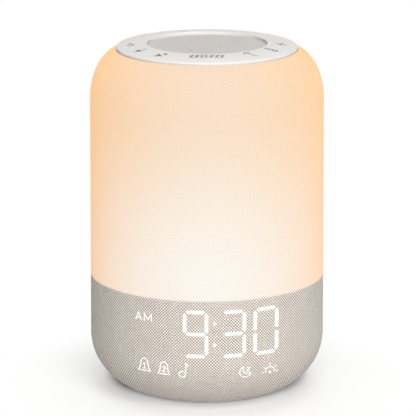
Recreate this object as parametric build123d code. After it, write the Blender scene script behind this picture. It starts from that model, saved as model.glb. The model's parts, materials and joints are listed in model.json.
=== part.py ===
from build123d import *
import os
from math import cos, hypot, radians, sin, sqrt, tan

# Sunrise alarm clock: a cloth-covered drum whose upper part glows and whose lower part holds
# the display.  Sizes are in millimetres.  The origin is the middle of the footprint on the
# table, +Z is up and the display faces -Y.

# ---- Body section, measured on the outside of the cloth ----
body_radius = 55.0           # at measure_height
measure_height = 82.5
wall_draft = 0.3             # degrees; the wall narrows upwards
foot_drop = 0.6              # the foot stands out below the body by this much
base_round_rise = 26.8       # height of the rounded bottom edge
base_flat_radius = 26.8      # flat part of the bottom, inside the rounded edge
wall_rise = 113.05           # from the bottom round to the start of the shoulder
shoulder_rise = 23.7         # semi-axes of the shoulder's quarter ellipse
shoulder_run = 15.7
shoulder_end = 11.8          # how far in along the shoulder the top opening is cut
seam_height = 56.3           # where the dark lower body meets the glowing upper one

# ---- Cloth and shells ----
cloth_thickness = 0.8
cloth_gap = 0.1              # between the cloth and the shells under it
shell_wall = 2.4
shell_fit = 0.15             # between a shell and a panel set into it
cloth_cut = 0.3              # between the cloth's edge and the rear panel
tongue_depth = 2.2           # spigot of the diffuser inside the lower shell
tongue_wall = 1.6
tongue_fit = 0.1
base_opening_radius = 30.2
cloth_hem = 0.8              # the cloth stops this far outside the base opening

# ---- Control ring and grille ----
ring_gap = 0.5               # dark line between the cloth and the control ring
ring_crown = 2.85            # the lip stands this far above the cloth's edge
ring_dome = 65.0             # radius of the ring's gently domed top
ring_edge_round = 1.0
ring_lip_round = 0.4
ring_skirt = 2.05            # depth of the ring's outer skirt
ring_skirt_wall = 1.4
ring_width = 14.4            # from the outer edge to the grille
grille_recess = 1.2          # the grille cloth lies this far below the lip
grille_cloth_thickness = 0.5
grille_mesh_thickness = 1.2
grille_fit = 0.1
mesh_hole_radius = 1.1
mesh_pitch = 3.4
touch_thickness = 0.4
touch_margin = 0.5

# ---- Top frame and its ledge in the diffuser ----
frame_fit = 0.2
frame_flange = 2.0
frame_flange_depth = 3.7     # top of the flange below the cloth's edge
frame_rim_wall = 1.3
frame_collar_in = 1.8        # collar inside the grille's edge
frame_collar_out = 2.0       # collar outside the grille's edge
ledge_width = 6.3
ledge_thickness = 1.8
collar_wall = 1.8
top_boss_depth = 4.0
frame_boss_rise = 2.3

# ---- Speaker ----
speaker_inset = 2.0          # the speaker's flange inside the grille's edge
speaker_fit = 0.3
speaker_flange = 1.2
speaker_flange_width = 2.8
gasket_thickness = 1.0
gasket_width = 1.6
basket_depth = 12.0
basket_wall = 1.0
basket_floor = 1.0
basket_floor_radius = 14.0
basket_windows = 4
plate_radius = 13.0
plate_thickness = 2.5
magnet_radius = 14.5
magnet_thickness = 6.0
magnet_bore = 7.5
coil_radius = 5.9
coil_wall = 0.3
coil_gap = 0.45
coil_above_floor = 5.2
coil_in_gap = 4.0
cone_thickness = 0.5
surround_roll = 1.2
surround_thickness = 0.4
glue_gap = 0.1
spider_height = 2.0
spider_thickness = 0.5
spider_wave = 0.5
spider_corrugations = 3
dust_cap_overlap = 1.2
dust_cap_rise = 2.4
chamber_depth = 36.0
chamber_wall = 2.0
chamber_rim = 4.2
chamber_clear = 1.0          # between the chamber's rim and the ledge
cone_travel = 0.8

# ---- Light core ----
baffle_below_seam = 0.5
baffle_thickness = 1.8
baffle_fit = 0.3
baffle_ledge_width = 6.0
baffle_ledge_thickness = 1.7
seat_gap = 0.1
board_rib = 1.0
rib_width = 2.0
duct_radius = 8.0
duct_wall = 1.5
duct_flange_width = 3.0
duct_seat_depth = 4.0
light_board_radius = 36.0
light_board_hole_gap = 0.3
board_thickness = 1.6
led_size = 3.5
led_height = 1.6
led_inner_radius = 20.0      # the two circles of light-emitting diodes
led_outer_radius = 30.0
led_inner_count = 12
led_outer_count = 18
cable_width = 8.0
cable_thickness = 1.0

# ---- Display ----
window_low = 16.0
window_below_seam = 2.6      # the window's upper edge below the seam
window_corner = 2.0
window_end_gap = 1.7         # from each end to where the display board would meet the shell
mask_fit = 0.2
mask_end_gap = 1.0           # the mask stops this far inside the window's ends
display_depth = 21.0         # front face of the display board behind the body's front
digit_width = 12.0
digit_low = 29.3             # lower edge of the digits
digit_top_margin = 1.5       # the digits' upper edge below the window's
digit_end_margin = 3.8       # the last digit's right edge inside the window's
digit_pitch = 15.0
colon_space = 2.4            # extra room for the colon between the first two digits
leading_one_space = 4.7      # left edge of the leading 1 ahead of the first digit's
segment_width = 2.0
segment_gap = 0.35
segment_fit = 0.05
colon_size = 2.1
colon_offset = 5.1           # each dot above or below the middle bar
colon_lead = 2.65            # its middle ahead of the second digit's left edge
day_sign_inset = 8.0         # middles of the AM and PM signs inside the window's left edge
day_sign_drops = (5.4, 14.2)  # their middles below the digits' upper edge
day_sign_width = 8.4
day_sign_height = 5.6
low_sign_height = 7.0
left_low_signs = (           # inset from the window's left edge, middle height, width
    (8.1, 23.7, 6.6),        # first alarm
    (17.2, 23.2, 6.6),       # second alarm
    (26.0, 22.6, 5.0),       # sound
)
right_low_signs = (          # inset from the window's right edge, middle height, width
    (19.2, 21.4, 6.6),       # sleep
    (7.8, 21.3, 7.6),        # sunrise
)
guide_setback = 0.9          # room for the diode behind each light guide
diode_size = 0.9
diode_height = 0.7
peg_low = 33.0               # height of the two lower pegs
peg_drop = 3.7               # the third one below the window's upper edge
peg_end_gap = 1.3            # right peg inside the mask's end
peg_radius = 1.0
peg_length = 2.4
peg_fit = 0.1

# ---- Main board ----
main_board_inset = 11.5      # its edge inside the widest part of the body
main_board_height = 11.4     # underside
board_boss_circle = 30.0
board_boss_radius = 2.6
header_width = 20.0
header_depth = 2.4
header_rise = 5.5
chip_places = ((-12.0, 22.0, 10.0, 10.0), (14.0, 24.0, 7.0, 7.0), (-22.0, -8.0, 8.0, 6.0))
chip_rise = 1.2
capacitor_places = ((26.0, 4.0), (26.0, -6.0), (18.0, -16.0))
capacitor_radius = 3.15
capacitor_rise = 7.0
connector_width = 12.0
connector_depth = 4.0
connector_rise = 4.0

# ---- Rear panel, keys and power socket ----
panel_half_width = 17.0
panel_low = 13.0
panel_high = 47.5
panel_corner = 5.0
panel_proud = 0.2
key_radius = 3.6
key_fit = 0.1
key_proud = 1.0
key_travel = 0.5
key_flange_width = 1.0
key_flange_thickness = 0.8
key_guide_wall = 1.5
key_guide_depth = 7.0        # inner end of the key guides inside the body's widest part
key_places = {              # read from behind, where +X is on the left
    "alarm_one_key": (10.5, 40.0),
    "clock_key": (0.0, 40.0),
    "alarm_two_key": (-10.5, 40.0),
    "minus_key": (6.5, 30.0),
    "plus_key": (-6.5, 30.0),
}
key_board_half_width = 16.0
key_board_low = 16.5
key_board_high = 46.0
switch_size = 6.0
switch_rise = 2.4
plunger_radius = 1.6
plunger_rise = 0.7
plunger_gap = 0.1            # left when the key is fully pressed
key_post_places = ((-14.0, 28.5), (14.0, 28.5))
key_post_radius = 2.2
key_cable_x = 5.2
key_cable_width = 5.0
key_cable_thickness = 0.8
socket_height = 20.0         # of its axis above the table
socket_width = 8.6           # across the square body
socket_setback = 3.0         # face of the socket behind the cloth's outside
socket_depth = 11.5
socket_fit = 0.15
socket_bore = 3.2
socket_bore_depth = 9.5
socket_pin_radius = 1.0
socket_pin_setback = 1.0
plug_clearance = 3.9

# ---- Base ----
base_plate_thickness = 3.2
base_plate_fit = 0.3
base_ledge_inner = 21.0
base_ledge_outer = 34.0
base_ledge_thickness = 2.0
foot_inner = 22.0
foot_outer = 27.5
foot_thickness = 1.5
foot_fit = 0.1
base_boss_radius = 3.0
base_boss_rise = 4.5
door_radius = 12.5
door_fit = 0.1
door_recess = 0.3
door_lug_reach = 1.5
door_lug_angle = 24.0        # degrees of arc
door_lug_play = 6.0          # degrees that its entry is wider
door_lug_thickness = 0.8
door_lug_clear = 0.15
door_twist = 40.0            # degrees from locked to open
door_slot_length = 14.0
door_slot_width = 2.0
door_slot_depth = 0.9
cell_radius = 10.0
cell_thickness = 3.2
cell_fit = 0.15
cell_gap = 0.05
cell_contact_thickness = 0.7
holder_wall = 1.5
holder_roof = 1.0
holder_flange_radius = 18.0
holder_flange = 1.0
door_boss_radius = 8.0

# ---- Fasteners ----
screw_radius = 1.0
screw_head_radius = 1.9
screw_head_height = 1.3
screw_hole_fit = 0.02
screw_engagement = 4.0
screw_count = 4

# ---- Derived body sizes ----
draft = tan(radians(wall_draft))
underside = foot_drop
base_round_top = underside + base_round_rise
shoulder_start = base_round_top + wall_rise
shell_inset = cloth_thickness + cloth_gap
inner_inset = shell_inset + shell_wall


def wall_radius(z):
    """Radius of the drafted wall on the outside of the cloth."""
    return body_radius - draft * (z - measure_height)


low_radius = wall_radius(base_round_top)
high_radius = wall_radius(shoulder_start)
base_round_run = low_radius - base_flat_radius
shoulder_centre = high_radius - shoulder_run
opening_radius = high_radius - shoulder_end
opening_share = (opening_radius - shoulder_centre) / shoulder_run
opening_height = shoulder_start + shoulder_rise * sqrt(1 - opening_share ** 2)


def body_radius_at(z, inset=0.0):
    """Radius of the body at a height, inset from the outside of the cloth."""
    if z < base_round_top:
        share = (base_round_top - z) / (base_round_rise - inset)
        return base_flat_radius + (base_round_run - inset) * sqrt(max(0.0, 1 - share ** 2))
    return wall_radius(z) - inset


# ---- Shape helpers ----
def disc(radius, z_low, z_high, x=0.0, y=0.0):
    """Upright cylinder between two heights."""
    low_face = (Align.CENTER, Align.CENTER, Align.MIN)
    return Pos(x, y, z_low) * Cylinder(radius, z_high - z_low, align=low_face)


def ring(r_in, r_out, z_low, z_high):
    """Upright tube between two heights."""
    return disc(r_out, z_low, z_high) - disc(r_in, z_low, z_high)


def block(x_low, x_high, y_low, y_high, z_low, z_high):
    """Box between two corners."""
    corner = (Align.MIN, Align.MIN, Align.MIN)
    return Pos(x_low, y_low, z_low) * Box(x_high - x_low, y_high - y_low, z_high - z_low, align=corner)


def rod(radius, x, z, y_low, y_high):
    """Cylinder along Y between two planes."""
    low_face = (Align.CENTER, Align.CENTER, Align.MIN)
    return Pos(x, y_low, z) * Rot(-90, 0, 0) * Cylinder(radius, y_high - y_low, align=low_face)


def prism(half_width, z_low, z_high, corner, y_low, y_high):
    """Rounded rectangle seen along Y, between two planes."""
    height = z_high - z_low
    outline = RectangleRounded(2 * half_width, height, corner)
    placed = Pos(0, y_high, (z_low + z_high) / 2) * Rot(90, 0, 0) * outline
    return extrude(placed, y_high - y_low, dir=(0, -1, 0))


def turned(points):
    """Solid turned about Z from straight-sided section points (radius, height)."""
    return revolve(Plane.XZ * make_face(Polyline(*points, close=True)), Axis.Z)


def on_circle(radius, count, start=0.0):
    """Evenly spaced places on a circle."""
    turns = [radians(start + 360.0 * i / count) for i in range(count)]
    return [(radius * cos(t), radius * sin(t)) for t in turns]


def body_solid(inset):
    """The whole body as one solid, inset from the outside of the cloth."""
    low_run = base_round_run - inset
    low_rise = base_round_rise - inset
    high_run = shoulder_run - inset
    high_rise = shoulder_rise - inset
    floor_z = underside + inset
    roof_z = shoulder_start + high_rise
    wall_foot = (low_radius - inset, base_round_top)
    wall_head = (high_radius - inset, shoulder_start)
    edges = [
        Line((0, floor_z), (base_flat_radius, floor_z)),
        EllipticalCenterArc((base_flat_radius, base_round_top), low_run, low_rise, 270, arc_size=90),
        Line(wall_foot, wall_head),
        EllipticalCenterArc((shoulder_centre, shoulder_start), high_run, high_rise, 0, arc_size=90),
        Line((shoulder_centre, roof_z), (0, roof_z)),
        Line((0, roof_z), (0, floor_z)),
    ]
    return revolve(Plane.XZ * make_face(edges), Axis.Z)


# The layers of the body are cut from these few solids, which are made once.
roof = opening_height + shoulder_rise
body_outer = body_solid(0)
cloth_inner = body_solid(cloth_thickness)
shell_outer = body_solid(shell_inset)
shell_middle = body_solid(shell_inset + shell_wall / 2)
shell_inner = body_solid(inner_inset)
panel_outer = body_solid(-panel_proud)

reach = body_radius + 20.0     # clears the body all round when a cut runs through its wall


# ---- Screws ----
def screw(x, y, head_z, length, up=True):
    """Pan-head screw whose head's flat side is at head_z; the shank goes up or down from it."""
    if up:
        head = disc(screw_head_radius, head_z - screw_head_height, head_z, x, y)
        return head + disc(screw_radius, head_z, head_z + length, x, y)
    head = disc(screw_head_radius, head_z, head_z + screw_head_height, x, y)
    return head + disc(screw_radius, head_z - length, head_z, x, y)


def screw_hole(x, y, z_low, z_high):
    """Hole that a screw's shank just fills."""
    return disc(screw_radius + screw_hole_fit, z_low, z_high, x, y)


# ---- Heights of the top group, from the cloth's upper edge down ----
ring_lip_z = opening_height + ring_crown
grille_top_z = ring_lip_z - grille_recess
mesh_top_z = grille_top_z - grille_cloth_thickness
collar_top_z = mesh_top_z - grille_mesh_thickness
skirt_low_z = collar_top_z - ring_skirt
flange_top_z = opening_height - frame_flange_depth
flange_low_z = flange_top_z - frame_flange
ring_outer = opening_radius - ring_gap
grille_radius = ring_outer - ring_width
speaker_radius = grille_radius - speaker_inset
frame_outer = opening_radius - frame_fit
ledge_inner = opening_radius - ledge_width
chamber_rim_radius = ledge_inner - chamber_clear
rebate_radius = speaker_radius + speaker_fit
top_screw_circle = (ledge_inner + frame_outer - frame_rim_wall) / 2
chamber_screw_circle = (rebate_radius + chamber_rim_radius) / 2
top_screw_places = on_circle(top_screw_circle, screw_count, 45)
chamber_screw_places = on_circle(chamber_screw_circle, screw_count, 0)

# ---- Heights of the light core and base ----
baffle_top_z = seam_height - baffle_below_seam
baffle_low_z = baffle_top_z - baffle_thickness
light_board_low_z = baffle_top_z + board_rib
light_board_top_z = light_board_low_z + board_thickness
chamber_floor_z = flange_low_z - chamber_depth
main_board_radius = body_radius - main_board_inset
main_board_top_z = main_board_height + board_thickness
base_top_z = underside + base_plate_thickness
base_ledge_low_z = base_top_z + seat_gap
base_ledge_top_z = base_ledge_low_z + base_ledge_thickness
foot_top_z = foot_thickness
base_screw_circle = (foot_inner + foot_outer) / 2
base_screw_places = on_circle(base_screw_circle, screw_count, 0)
board_screw_places = on_circle(board_boss_circle, screw_count, 45)


# ---- Places of the display, seen from the front ----
display_plane = body_radius - display_depth
board_reach = sqrt((body_radius - inner_inset - mask_fit) ** 2 - display_plane ** 2)
window_half_width = board_reach - window_end_gap
window_high = seam_height - window_below_seam
mask_half = window_half_width - mask_end_gap
mask_low = window_low + mask_fit
mask_high = window_high - mask_fit
digit_top = window_high - digit_top_margin
digit_height = digit_top - digit_low
digit_middle = (digit_top + digit_low) / 2
third_digit_left = window_half_width - digit_end_margin - digit_width
second_digit_left = third_digit_left - digit_pitch
first_digit_left = second_digit_left - digit_pitch - colon_space
leading_one_left = first_digit_left - leading_one_space
colon_x = second_digit_left - colon_lead
day_sign_x = day_sign_inset - window_half_width
indicators = [(day_sign_x, digit_top - drop, day_sign_width, day_sign_height) for drop in day_sign_drops]
indicators += [(inset - window_half_width, z, width, low_sign_height) for inset, z, width in left_low_signs]
indicators += [(window_half_width - inset, z, width, low_sign_height) for inset, z, width in right_low_signs]
left_peg_x = (day_sign_x + day_sign_width / 2 + leading_one_left) / 2
right_peg_x = mask_half - peg_end_gap
peg_places = ((left_peg_x, peg_low), (left_peg_x, window_high - peg_drop), (right_peg_x, peg_low))


# ---- Cloth ----
def fabric_sleeve():
    """Woven cover over both shells, hemmed at the base and open at the top and rear panel."""
    sleeve = body_outer - cloth_inner
    sleeve -= disc(opening_radius, shoulder_start, roof)
    sleeve -= disc(base_opening_radius + cloth_hem, 0, base_round_top)
    sleeve -= prism(panel_half_width + cloth_cut, panel_low - cloth_cut, panel_high + cloth_cut,
                    panel_corner + cloth_cut, 0, reach)
    return sleeve


# ---- Control ring group ----
def control_ring():
    """Domed ring with the touch signs; its skirt stands on the top frame."""
    sag = ring_dome - sqrt(ring_dome ** 2 - (ring_outer - grille_radius) ** 2)
    edge_z = ring_lip_z - sag
    skirt_in = ring_outer - ring_skirt_wall
    section = make_face([
        Line((grille_radius, collar_top_z), (grille_radius, ring_lip_z)),
        RadiusArc((grille_radius, ring_lip_z), (ring_outer, edge_z), ring_dome),
        Polyline((ring_outer, edge_z), (ring_outer, skirt_low_z), (skirt_in, skirt_low_z),
                 (skirt_in, collar_top_z), (grille_radius, collar_top_z)),
    ])
    lip = section.vertices().sort_by_distance((grille_radius, ring_lip_z))[0]
    section = fillet(lip, ring_lip_round)
    edge = section.vertices().sort_by_distance((ring_outer, edge_z))[0]
    section = fillet(edge, ring_edge_round)
    return revolve(Plane.XZ * section, Axis.Z)


def touch_board():
    """Thin ring of sensing pads on the underside of the control ring."""
    r_in = grille_radius + frame_collar_out + touch_margin
    r_out = ring_outer - ring_skirt_wall - touch_margin
    top = collar_top_z - seat_gap
    return ring(r_in, r_out, top - touch_thickness, top)


def grille_cloth():
    return disc(grille_radius - grille_fit, mesh_top_z, grille_top_z)


def grille_mesh():
    """Stiff plate with rows of sound holes under the grille cloth."""
    plate = disc(grille_radius - grille_fit, collar_top_z, mesh_top_z)
    open_radius = grille_radius - frame_collar_in - mesh_pitch
    row_step = mesh_pitch * sin(radians(60))
    rows = int(open_radius / row_step)
    places = []
    for row in range(-rows, rows + 1):
        shift = mesh_pitch / 2 if row % 2 else 0.0
        columns = int(open_radius / mesh_pitch) + 1
        for column in range(-columns, columns + 1):
            x = column * mesh_pitch + shift
            y = row * row_step
            if hypot(x, y) <= open_radius:
                places.append(Pos(x, y, collar_top_z))
    hole = Cylinder(mesh_hole_radius, grille_mesh_thickness * 3)
    return plate - [place * hole for place in places]


def top_frame():
    """Carrier of the control ring, the grille and the speaker chamber."""
    collar_in = grille_radius - frame_collar_in
    collar_out = grille_radius + frame_collar_out
    opening = speaker_radius - gasket_width
    frame = ring(opening, frame_outer, flange_low_z, flange_top_z)
    frame += ring(frame_outer - frame_rim_wall, frame_outer, flange_low_z, skirt_low_z)
    frame += ring(collar_in, collar_out, flange_low_z, collar_top_z)
    for x, y in chamber_screw_places:
        frame += disc(board_boss_radius, flange_low_z, flange_top_z + frame_boss_rise, x, y)
    frame -= disc(collar_in, flange_top_z, collar_top_z)
    for x, y in chamber_screw_places:
        frame -= screw_hole(x, y, flange_low_z, flange_top_z + frame_boss_rise)
    for x, y in top_screw_places:
        frame -= screw_hole(x, y, flange_low_z, flange_top_z)
    return frame


def top_screws():
    length = frame_flange + screw_engagement
    return [screw(x, y, flange_top_z, length, up=False) for x, y in top_screw_places]


# ---- Speaker ----
speaker_top_z = flange_low_z - gasket_thickness
speaker_flange_z = speaker_top_z - speaker_flange
basket_floor_z = speaker_flange_z - basket_depth
motor_top_z = basket_floor_z - basket_floor
magnet_top_z = motor_top_z - plate_thickness
yoke_top_z = magnet_top_z - magnet_thickness
surround_outer = speaker_radius - gasket_width - glue_gap
cone_edge = speaker_radius - speaker_flange_width - 2 * surround_roll
coil_top_z = basket_floor_z + coil_above_floor
cone_slope = (speaker_top_z - coil_top_z) / (cone_edge - coil_radius)


def speaker_gasket():
    return ring(speaker_radius - gasket_width, speaker_radius, speaker_top_z, flange_low_z)


def speaker_basket():
    """Pressed steel funnel with windows, from the flange down to the motor."""
    flange_in = speaker_radius - speaker_flange_width
    throat = basket_floor_radius - basket_wall
    basket = turned([
        (flange_in, speaker_top_z), (speaker_radius, speaker_top_z),
        (speaker_radius, speaker_flange_z), (flange_in + basket_wall, speaker_flange_z),
        (basket_floor_radius, motor_top_z), (coil_radius + coil_gap, motor_top_z),
        (coil_radius + coil_gap, basket_floor_z), (throat, basket_floor_z),
        (flange_in, speaker_flange_z),
    ])
    low = basket_floor_z + basket_depth / 3
    high = speaker_flange_z - basket_depth / 6
    window = block(basket_floor_radius / 2, reach, -basket_floor_radius / 3, basket_floor_radius / 3,
                   low, high)
    for i in range(basket_windows):
        basket -= Rot(0, 0, 360 * i / basket_windows) * window
    return basket


def speaker_surround():
    """Half-roll rubber edge between the cone and the basket."""
    roll_centre = cone_edge + glue_gap + surround_roll + surround_thickness
    flat = ring(cone_edge + glue_gap, surround_outer, speaker_top_z, speaker_top_z + surround_thickness)
    flat -= disc(roll_centre + surround_roll, speaker_top_z, speaker_top_z + surround_thickness) \
        - disc(roll_centre - surround_roll, speaker_top_z, speaker_top_z + surround_thickness)
    roll = Pos(0, 0, speaker_top_z) * Torus(roll_centre, surround_roll + surround_thickness)
    roll -= Pos(0, 0, speaker_top_z) * Torus(roll_centre, surround_roll)
    roll &= ring(cone_edge, surround_outer, speaker_top_z, speaker_top_z + 2 * surround_roll)
    return flat + roll


def speaker_cone():
    """Paper cone from the voice coil to the surround."""
    inner = coil_radius + glue_gap
    return turned([
        (inner, coil_top_z), (cone_edge, speaker_top_z),
        (cone_edge, speaker_top_z + cone_thickness), (inner, coil_top_z + cone_thickness),
    ])


def speaker_dust_cap():
    """Thin dome over the voice coil."""
    edge = coil_radius + dust_cap_overlap
    edge_z = coil_top_z + cone_thickness + cone_slope * (edge - coil_radius) + glue_gap
    dome_radius = (edge ** 2 + dust_cap_rise ** 2) / (2 * dust_cap_rise)
    centre = Pos(0, 0, edge_z + dust_cap_rise - dome_radius)
    dome = centre * Sphere(dome_radius) - centre * Sphere(dome_radius - cone_thickness)
    return dome & disc(edge, edge_z, edge_z + 2 * dust_cap_rise)


def speaker_voice_coil():
    return ring(coil_radius - coil_wall, coil_radius, motor_top_z - coil_in_gap, coil_top_z)


def speaker_spider():
    """Corrugated disc that centres the voice coil."""
    r_in = coil_radius + glue_gap
    r_out = basket_floor_radius - glue_gap
    z = basket_floor_z + spider_height
    waves = 2 * spider_corrugations
    step = (r_out - r_in) / waves
    low = [(r_in + i * step, z + (spider_wave if i % 2 else 0.0)) for i in range(waves + 1)]
    high = [(r, h + spider_thickness) for r, h in reversed(low)]
    return turned(low + high)


def speaker_top_plate():
    return ring(coil_radius + coil_gap, plate_radius, magnet_top_z, motor_top_z)


def speaker_magnet():
    return ring(magnet_bore, magnet_radius, yoke_top_z, magnet_top_z)


def speaker_yoke():
    """Back plate and pole of the speaker's motor."""
    pole = coil_radius - coil_wall - coil_gap
    plate = disc(plate_radius, yoke_top_z - plate_thickness, yoke_top_z)
    return plate + disc(pole, yoke_top_z, motor_top_z)


def speaker_chamber():
    """Closed cup behind the speaker; its foot is the socket of the wire duct."""
    inner = rebate_radius - speaker_fit - gasket_width
    outer = inner + chamber_wall
    floor_top = chamber_floor_z + chamber_wall
    seat = duct_radius + tongue_fit
    chamber = disc(outer, chamber_floor_z, flange_low_z)
    chamber += disc(chamber_rim_radius, flange_low_z - chamber_rim, flange_low_z)
    chamber -= disc(inner, floor_top, flange_low_z)
    chamber -= disc(rebate_radius, speaker_flange_z, flange_low_z)
    chamber += ring(seat, seat + chamber_wall, chamber_floor_z - duct_seat_depth, chamber_floor_z)
    for x, y in chamber_screw_places:
        chamber -= screw_hole(x, y, flange_low_z - chamber_rim, flange_low_z)
    return chamber


def chamber_screws():
    length = chamber_rim + frame_flange + frame_boss_rise
    head_z = flange_low_z - chamber_rim
    return [screw(x, y, head_z, length) for x, y in chamber_screw_places]


# ---- Glowing upper part ----
def diffuser_shell():
    """Milky shell that spreads the light, with the ledge that the top frame is screwed to."""
    shell = shell_outer - shell_inner
    shell -= disc(reach, -reach, seam_height)
    shell -= disc(opening_radius, shoulder_start, roof)
    ledge_top = flange_low_z
    ledge_low = ledge_top - ledge_thickness
    neck = ring(opening_radius, opening_radius + collar_wall, ledge_low, roof)
    neck += ring(ledge_inner, opening_radius + collar_wall, ledge_low, ledge_top)
    for x, y in top_screw_places:
        neck += disc(board_boss_radius, ledge_low - top_boss_depth, ledge_top, x, y)
    shell += neck & shell_middle
    tongue_out = body_radius_at(seam_height, inner_inset) - tongue_fit
    tongue_low = seam_height - tongue_depth
    tongue = ring(tongue_out - tongue_wall, tongue_out, tongue_low, seam_height)
    shelf_top = seam_height + shell_wall
    shelf = ring(tongue_out - tongue_wall, tongue_out + shell_wall / 2, seam_height, shelf_top)
    shell += tongue + shelf
    for x, y in top_screw_places:
        shell -= screw_hole(x, y, ledge_low - top_boss_depth, ledge_top)
    return shell


def light_baffle():
    """White partition between the light chamber and the electronics."""
    radius = body_radius_at(seam_height, inner_inset) - tongue_fit - tongue_wall - baffle_fit
    baffle = disc(radius, baffle_low_z, baffle_top_z)
    rib_outer = light_board_radius
    baffle += ring(rib_outer - rib_width, rib_outer, baffle_top_z, light_board_low_z)
    return baffle - disc(duct_radius - duct_wall, baffle_low_z, baffle_top_z)


def wire_duct():
    """White tube that carries the speaker chamber and hides the wires to the top."""
    bore = duct_radius - duct_wall
    duct = ring(bore, duct_radius, baffle_top_z, chamber_floor_z - seat_gap)
    return duct + ring(bore, duct_radius + duct_flange_width, baffle_top_z, light_board_low_z)


def light_board():
    hole = duct_radius + light_board_hole_gap
    return ring(hole, light_board_radius, light_board_low_z, light_board_top_z)


def light_diodes():
    """Warm and white light-emitting diodes in two circles."""
    half = led_size / 2
    diodes = []
    for radius, count in ((led_inner_radius, led_inner_count), (led_outer_radius, led_outer_count)):
        for i in range(count):
            chip = block(radius - half, radius + half, -half, half,
                         light_board_top_z, light_board_top_z + led_height)
            diodes.append(Rot(0, 0, 360 * i / count) * chip)
    return diodes


def top_cable():
    """Flat cable from the main board up through the wire duct."""
    low = main_board_top_z + connector_rise
    high = chamber_floor_z - seat_gap
    return block(-cable_width / 2, cable_width / 2, -cable_thickness / 2, cable_thickness / 2, low, high)


# ---- Lower shell ----
def lower_shell():
    """Opaque cup with the openings for the display window, rear panel and base plate."""
    shell = shell_outer - shell_inner
    shell -= disc(reach, seam_height, 2 * roof)
    shell -= disc(base_opening_radius, 0, base_ledge_low_z)
    ledge = ring(base_ledge_inner, base_ledge_outer, base_ledge_low_z, base_ledge_top_z)
    for x, y in base_screw_places:
        ledge += disc(base_boss_radius, base_ledge_low_z, base_ledge_top_z + base_boss_rise, x, y)
    for x, y in board_screw_places:
        ledge += disc(board_boss_radius, base_ledge_low_z, main_board_height, x, y)
    shell += ledge & shell_middle
    shelf_top = baffle_low_z - seat_gap
    shelf_outer = body_radius_at(shelf_top, shell_inset + shell_wall / 2)
    shelf_inner = shelf_outer - baffle_ledge_width
    shelf = ring(shelf_inner, shelf_outer, shelf_top - baffle_ledge_thickness, shelf_top)
    shelf_cut = window_half_width + mask_end_gap
    shelf -= block(-shelf_cut, shelf_cut, -reach, 0,
                   shelf_top - baffle_ledge_thickness, shelf_top)
    shell += shelf
    shell -= prism(window_half_width, window_low, window_high, window_corner, -reach, 0)
    shell -= prism(panel_half_width + shell_fit, panel_low - shell_fit, panel_high + shell_fit,
                   panel_corner + shell_fit, 0, reach)
    for x, y in base_screw_places:
        shell -= screw_hole(x, y, base_ledge_low_z, base_ledge_top_z + base_boss_rise)
    for x, y in board_screw_places:
        shell -= screw_hole(x, y, main_board_height - screw_engagement, main_board_height)
    return shell


# ---- Display ----
def bar(x, z, length, width, upright):
    """Outline of one display bar with pointed ends, centred on (x, z)."""
    half, nib = length / 2, width / 2
    upper = [(-half, 0), (-half + nib, nib), (half - nib, nib)]
    flat = upper + [(-a, -b) for a, b in upper]
    if upright:
        return [(x + b, z + a) for a, b in flat]
    return [(x + a, z + b) for a, b in flat]


def digit_bars(left, grow):
    """The seven bars of one digit; grow widens each bar all round."""
    width = segment_width + 2 * grow
    across = digit_width - segment_width - 2 * segment_gap + 2 * grow
    along = (digit_height - segment_width) / 2 - 2 * segment_gap + 2 * grow
    middle_x = left + digit_width / 2
    side_x = (left + segment_width / 2, left + digit_width - segment_width / 2)
    rise = (digit_height - segment_width) / 2
    bars = [bar(middle_x, digit_middle + step * rise, across, width, False) for step in (-1, 0, 1)]
    for x in side_x:
        for step in (-0.5, 0.5):
            bars.append(bar(x, digit_middle + step * rise, along, width, True))
    return bars


def leading_one(grow):
    """The two bars of the leading 1."""
    width = segment_width + 2 * grow
    along = (digit_height - segment_width) / 2 - 2 * segment_gap + 2 * grow
    rise = (digit_height - segment_width) / 4
    x = leading_one_left + segment_width / 2
    return [bar(x, digit_middle + step * rise, along, width, True) for step in (-1, 1)]


def rectangle(x, z, width, height):
    """Corner points of an upright rectangle."""
    a, b = width / 2, height / 2
    return [(x - a, z - b), (x + a, z - b), (x + a, z + b), (x - a, z + b)]


def lit_outlines(grow):
    """Outlines of every lit place, seen from the front."""
    outlines = list(leading_one(grow))
    for left in (first_digit_left, second_digit_left, third_digit_left):
        outlines += digit_bars(left, grow)
    for step in (-1, 1):
        size = colon_size + 2 * grow
        outlines.append(rectangle(colon_x, digit_middle + step * colon_offset, size, size))
    for x, z, width, height in indicators:
        outlines.append(rectangle(x, z, width + 2 * grow, height + 2 * grow))
    return outlines


def front_prisms(grow, y_back):
    """Each lit place as a prism from y_back out through the front wall."""
    prisms = []
    for outline in lit_outlines(grow):
        points = [(x, y_back, z) for x, z in outline]
        face = Face(Wire.make_polygon([Vector(*p) for p in points], close=True))
        prisms.append(extrude(face, reach, dir=(0, -1, 0)))
    return prisms


mask_body = body_solid(inner_inset + mask_fit)


def display_window():
    """Clear pane in the lower shell under the cloth, in front of the display."""
    pane = prism(window_half_width - shell_fit, window_low + shell_fit, window_high - shell_fit,
                 window_corner, -reach, 0)
    return (shell_outer - shell_inner) & pane


def display_mask():
    """Black block that keeps the light of each bar apart, with three fixing pegs."""
    mask = block(-mask_half, mask_half, -reach, -display_plane, mask_low, mask_high) & mask_body
    mask -= front_prisms(segment_fit, -display_plane)
    for x, z in peg_places:
        mask += rod(peg_radius, x, z, -display_plane - peg_length, -display_plane + peg_length)
    return mask


def segment_guides():
    """Clear light guide of each bar, dot and sign."""
    return [piece & mask_body for piece in front_prisms(0.0, -display_plane - guide_setback)]


def display_board():
    low, high = -display_plane, -display_plane + board_thickness
    board = block(-mask_half, mask_half, low, high, mask_low, mask_high) & mask_body
    for x, z in peg_places:
        board -= rod(peg_radius + peg_fit, x, z, low, high)
    return board


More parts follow.
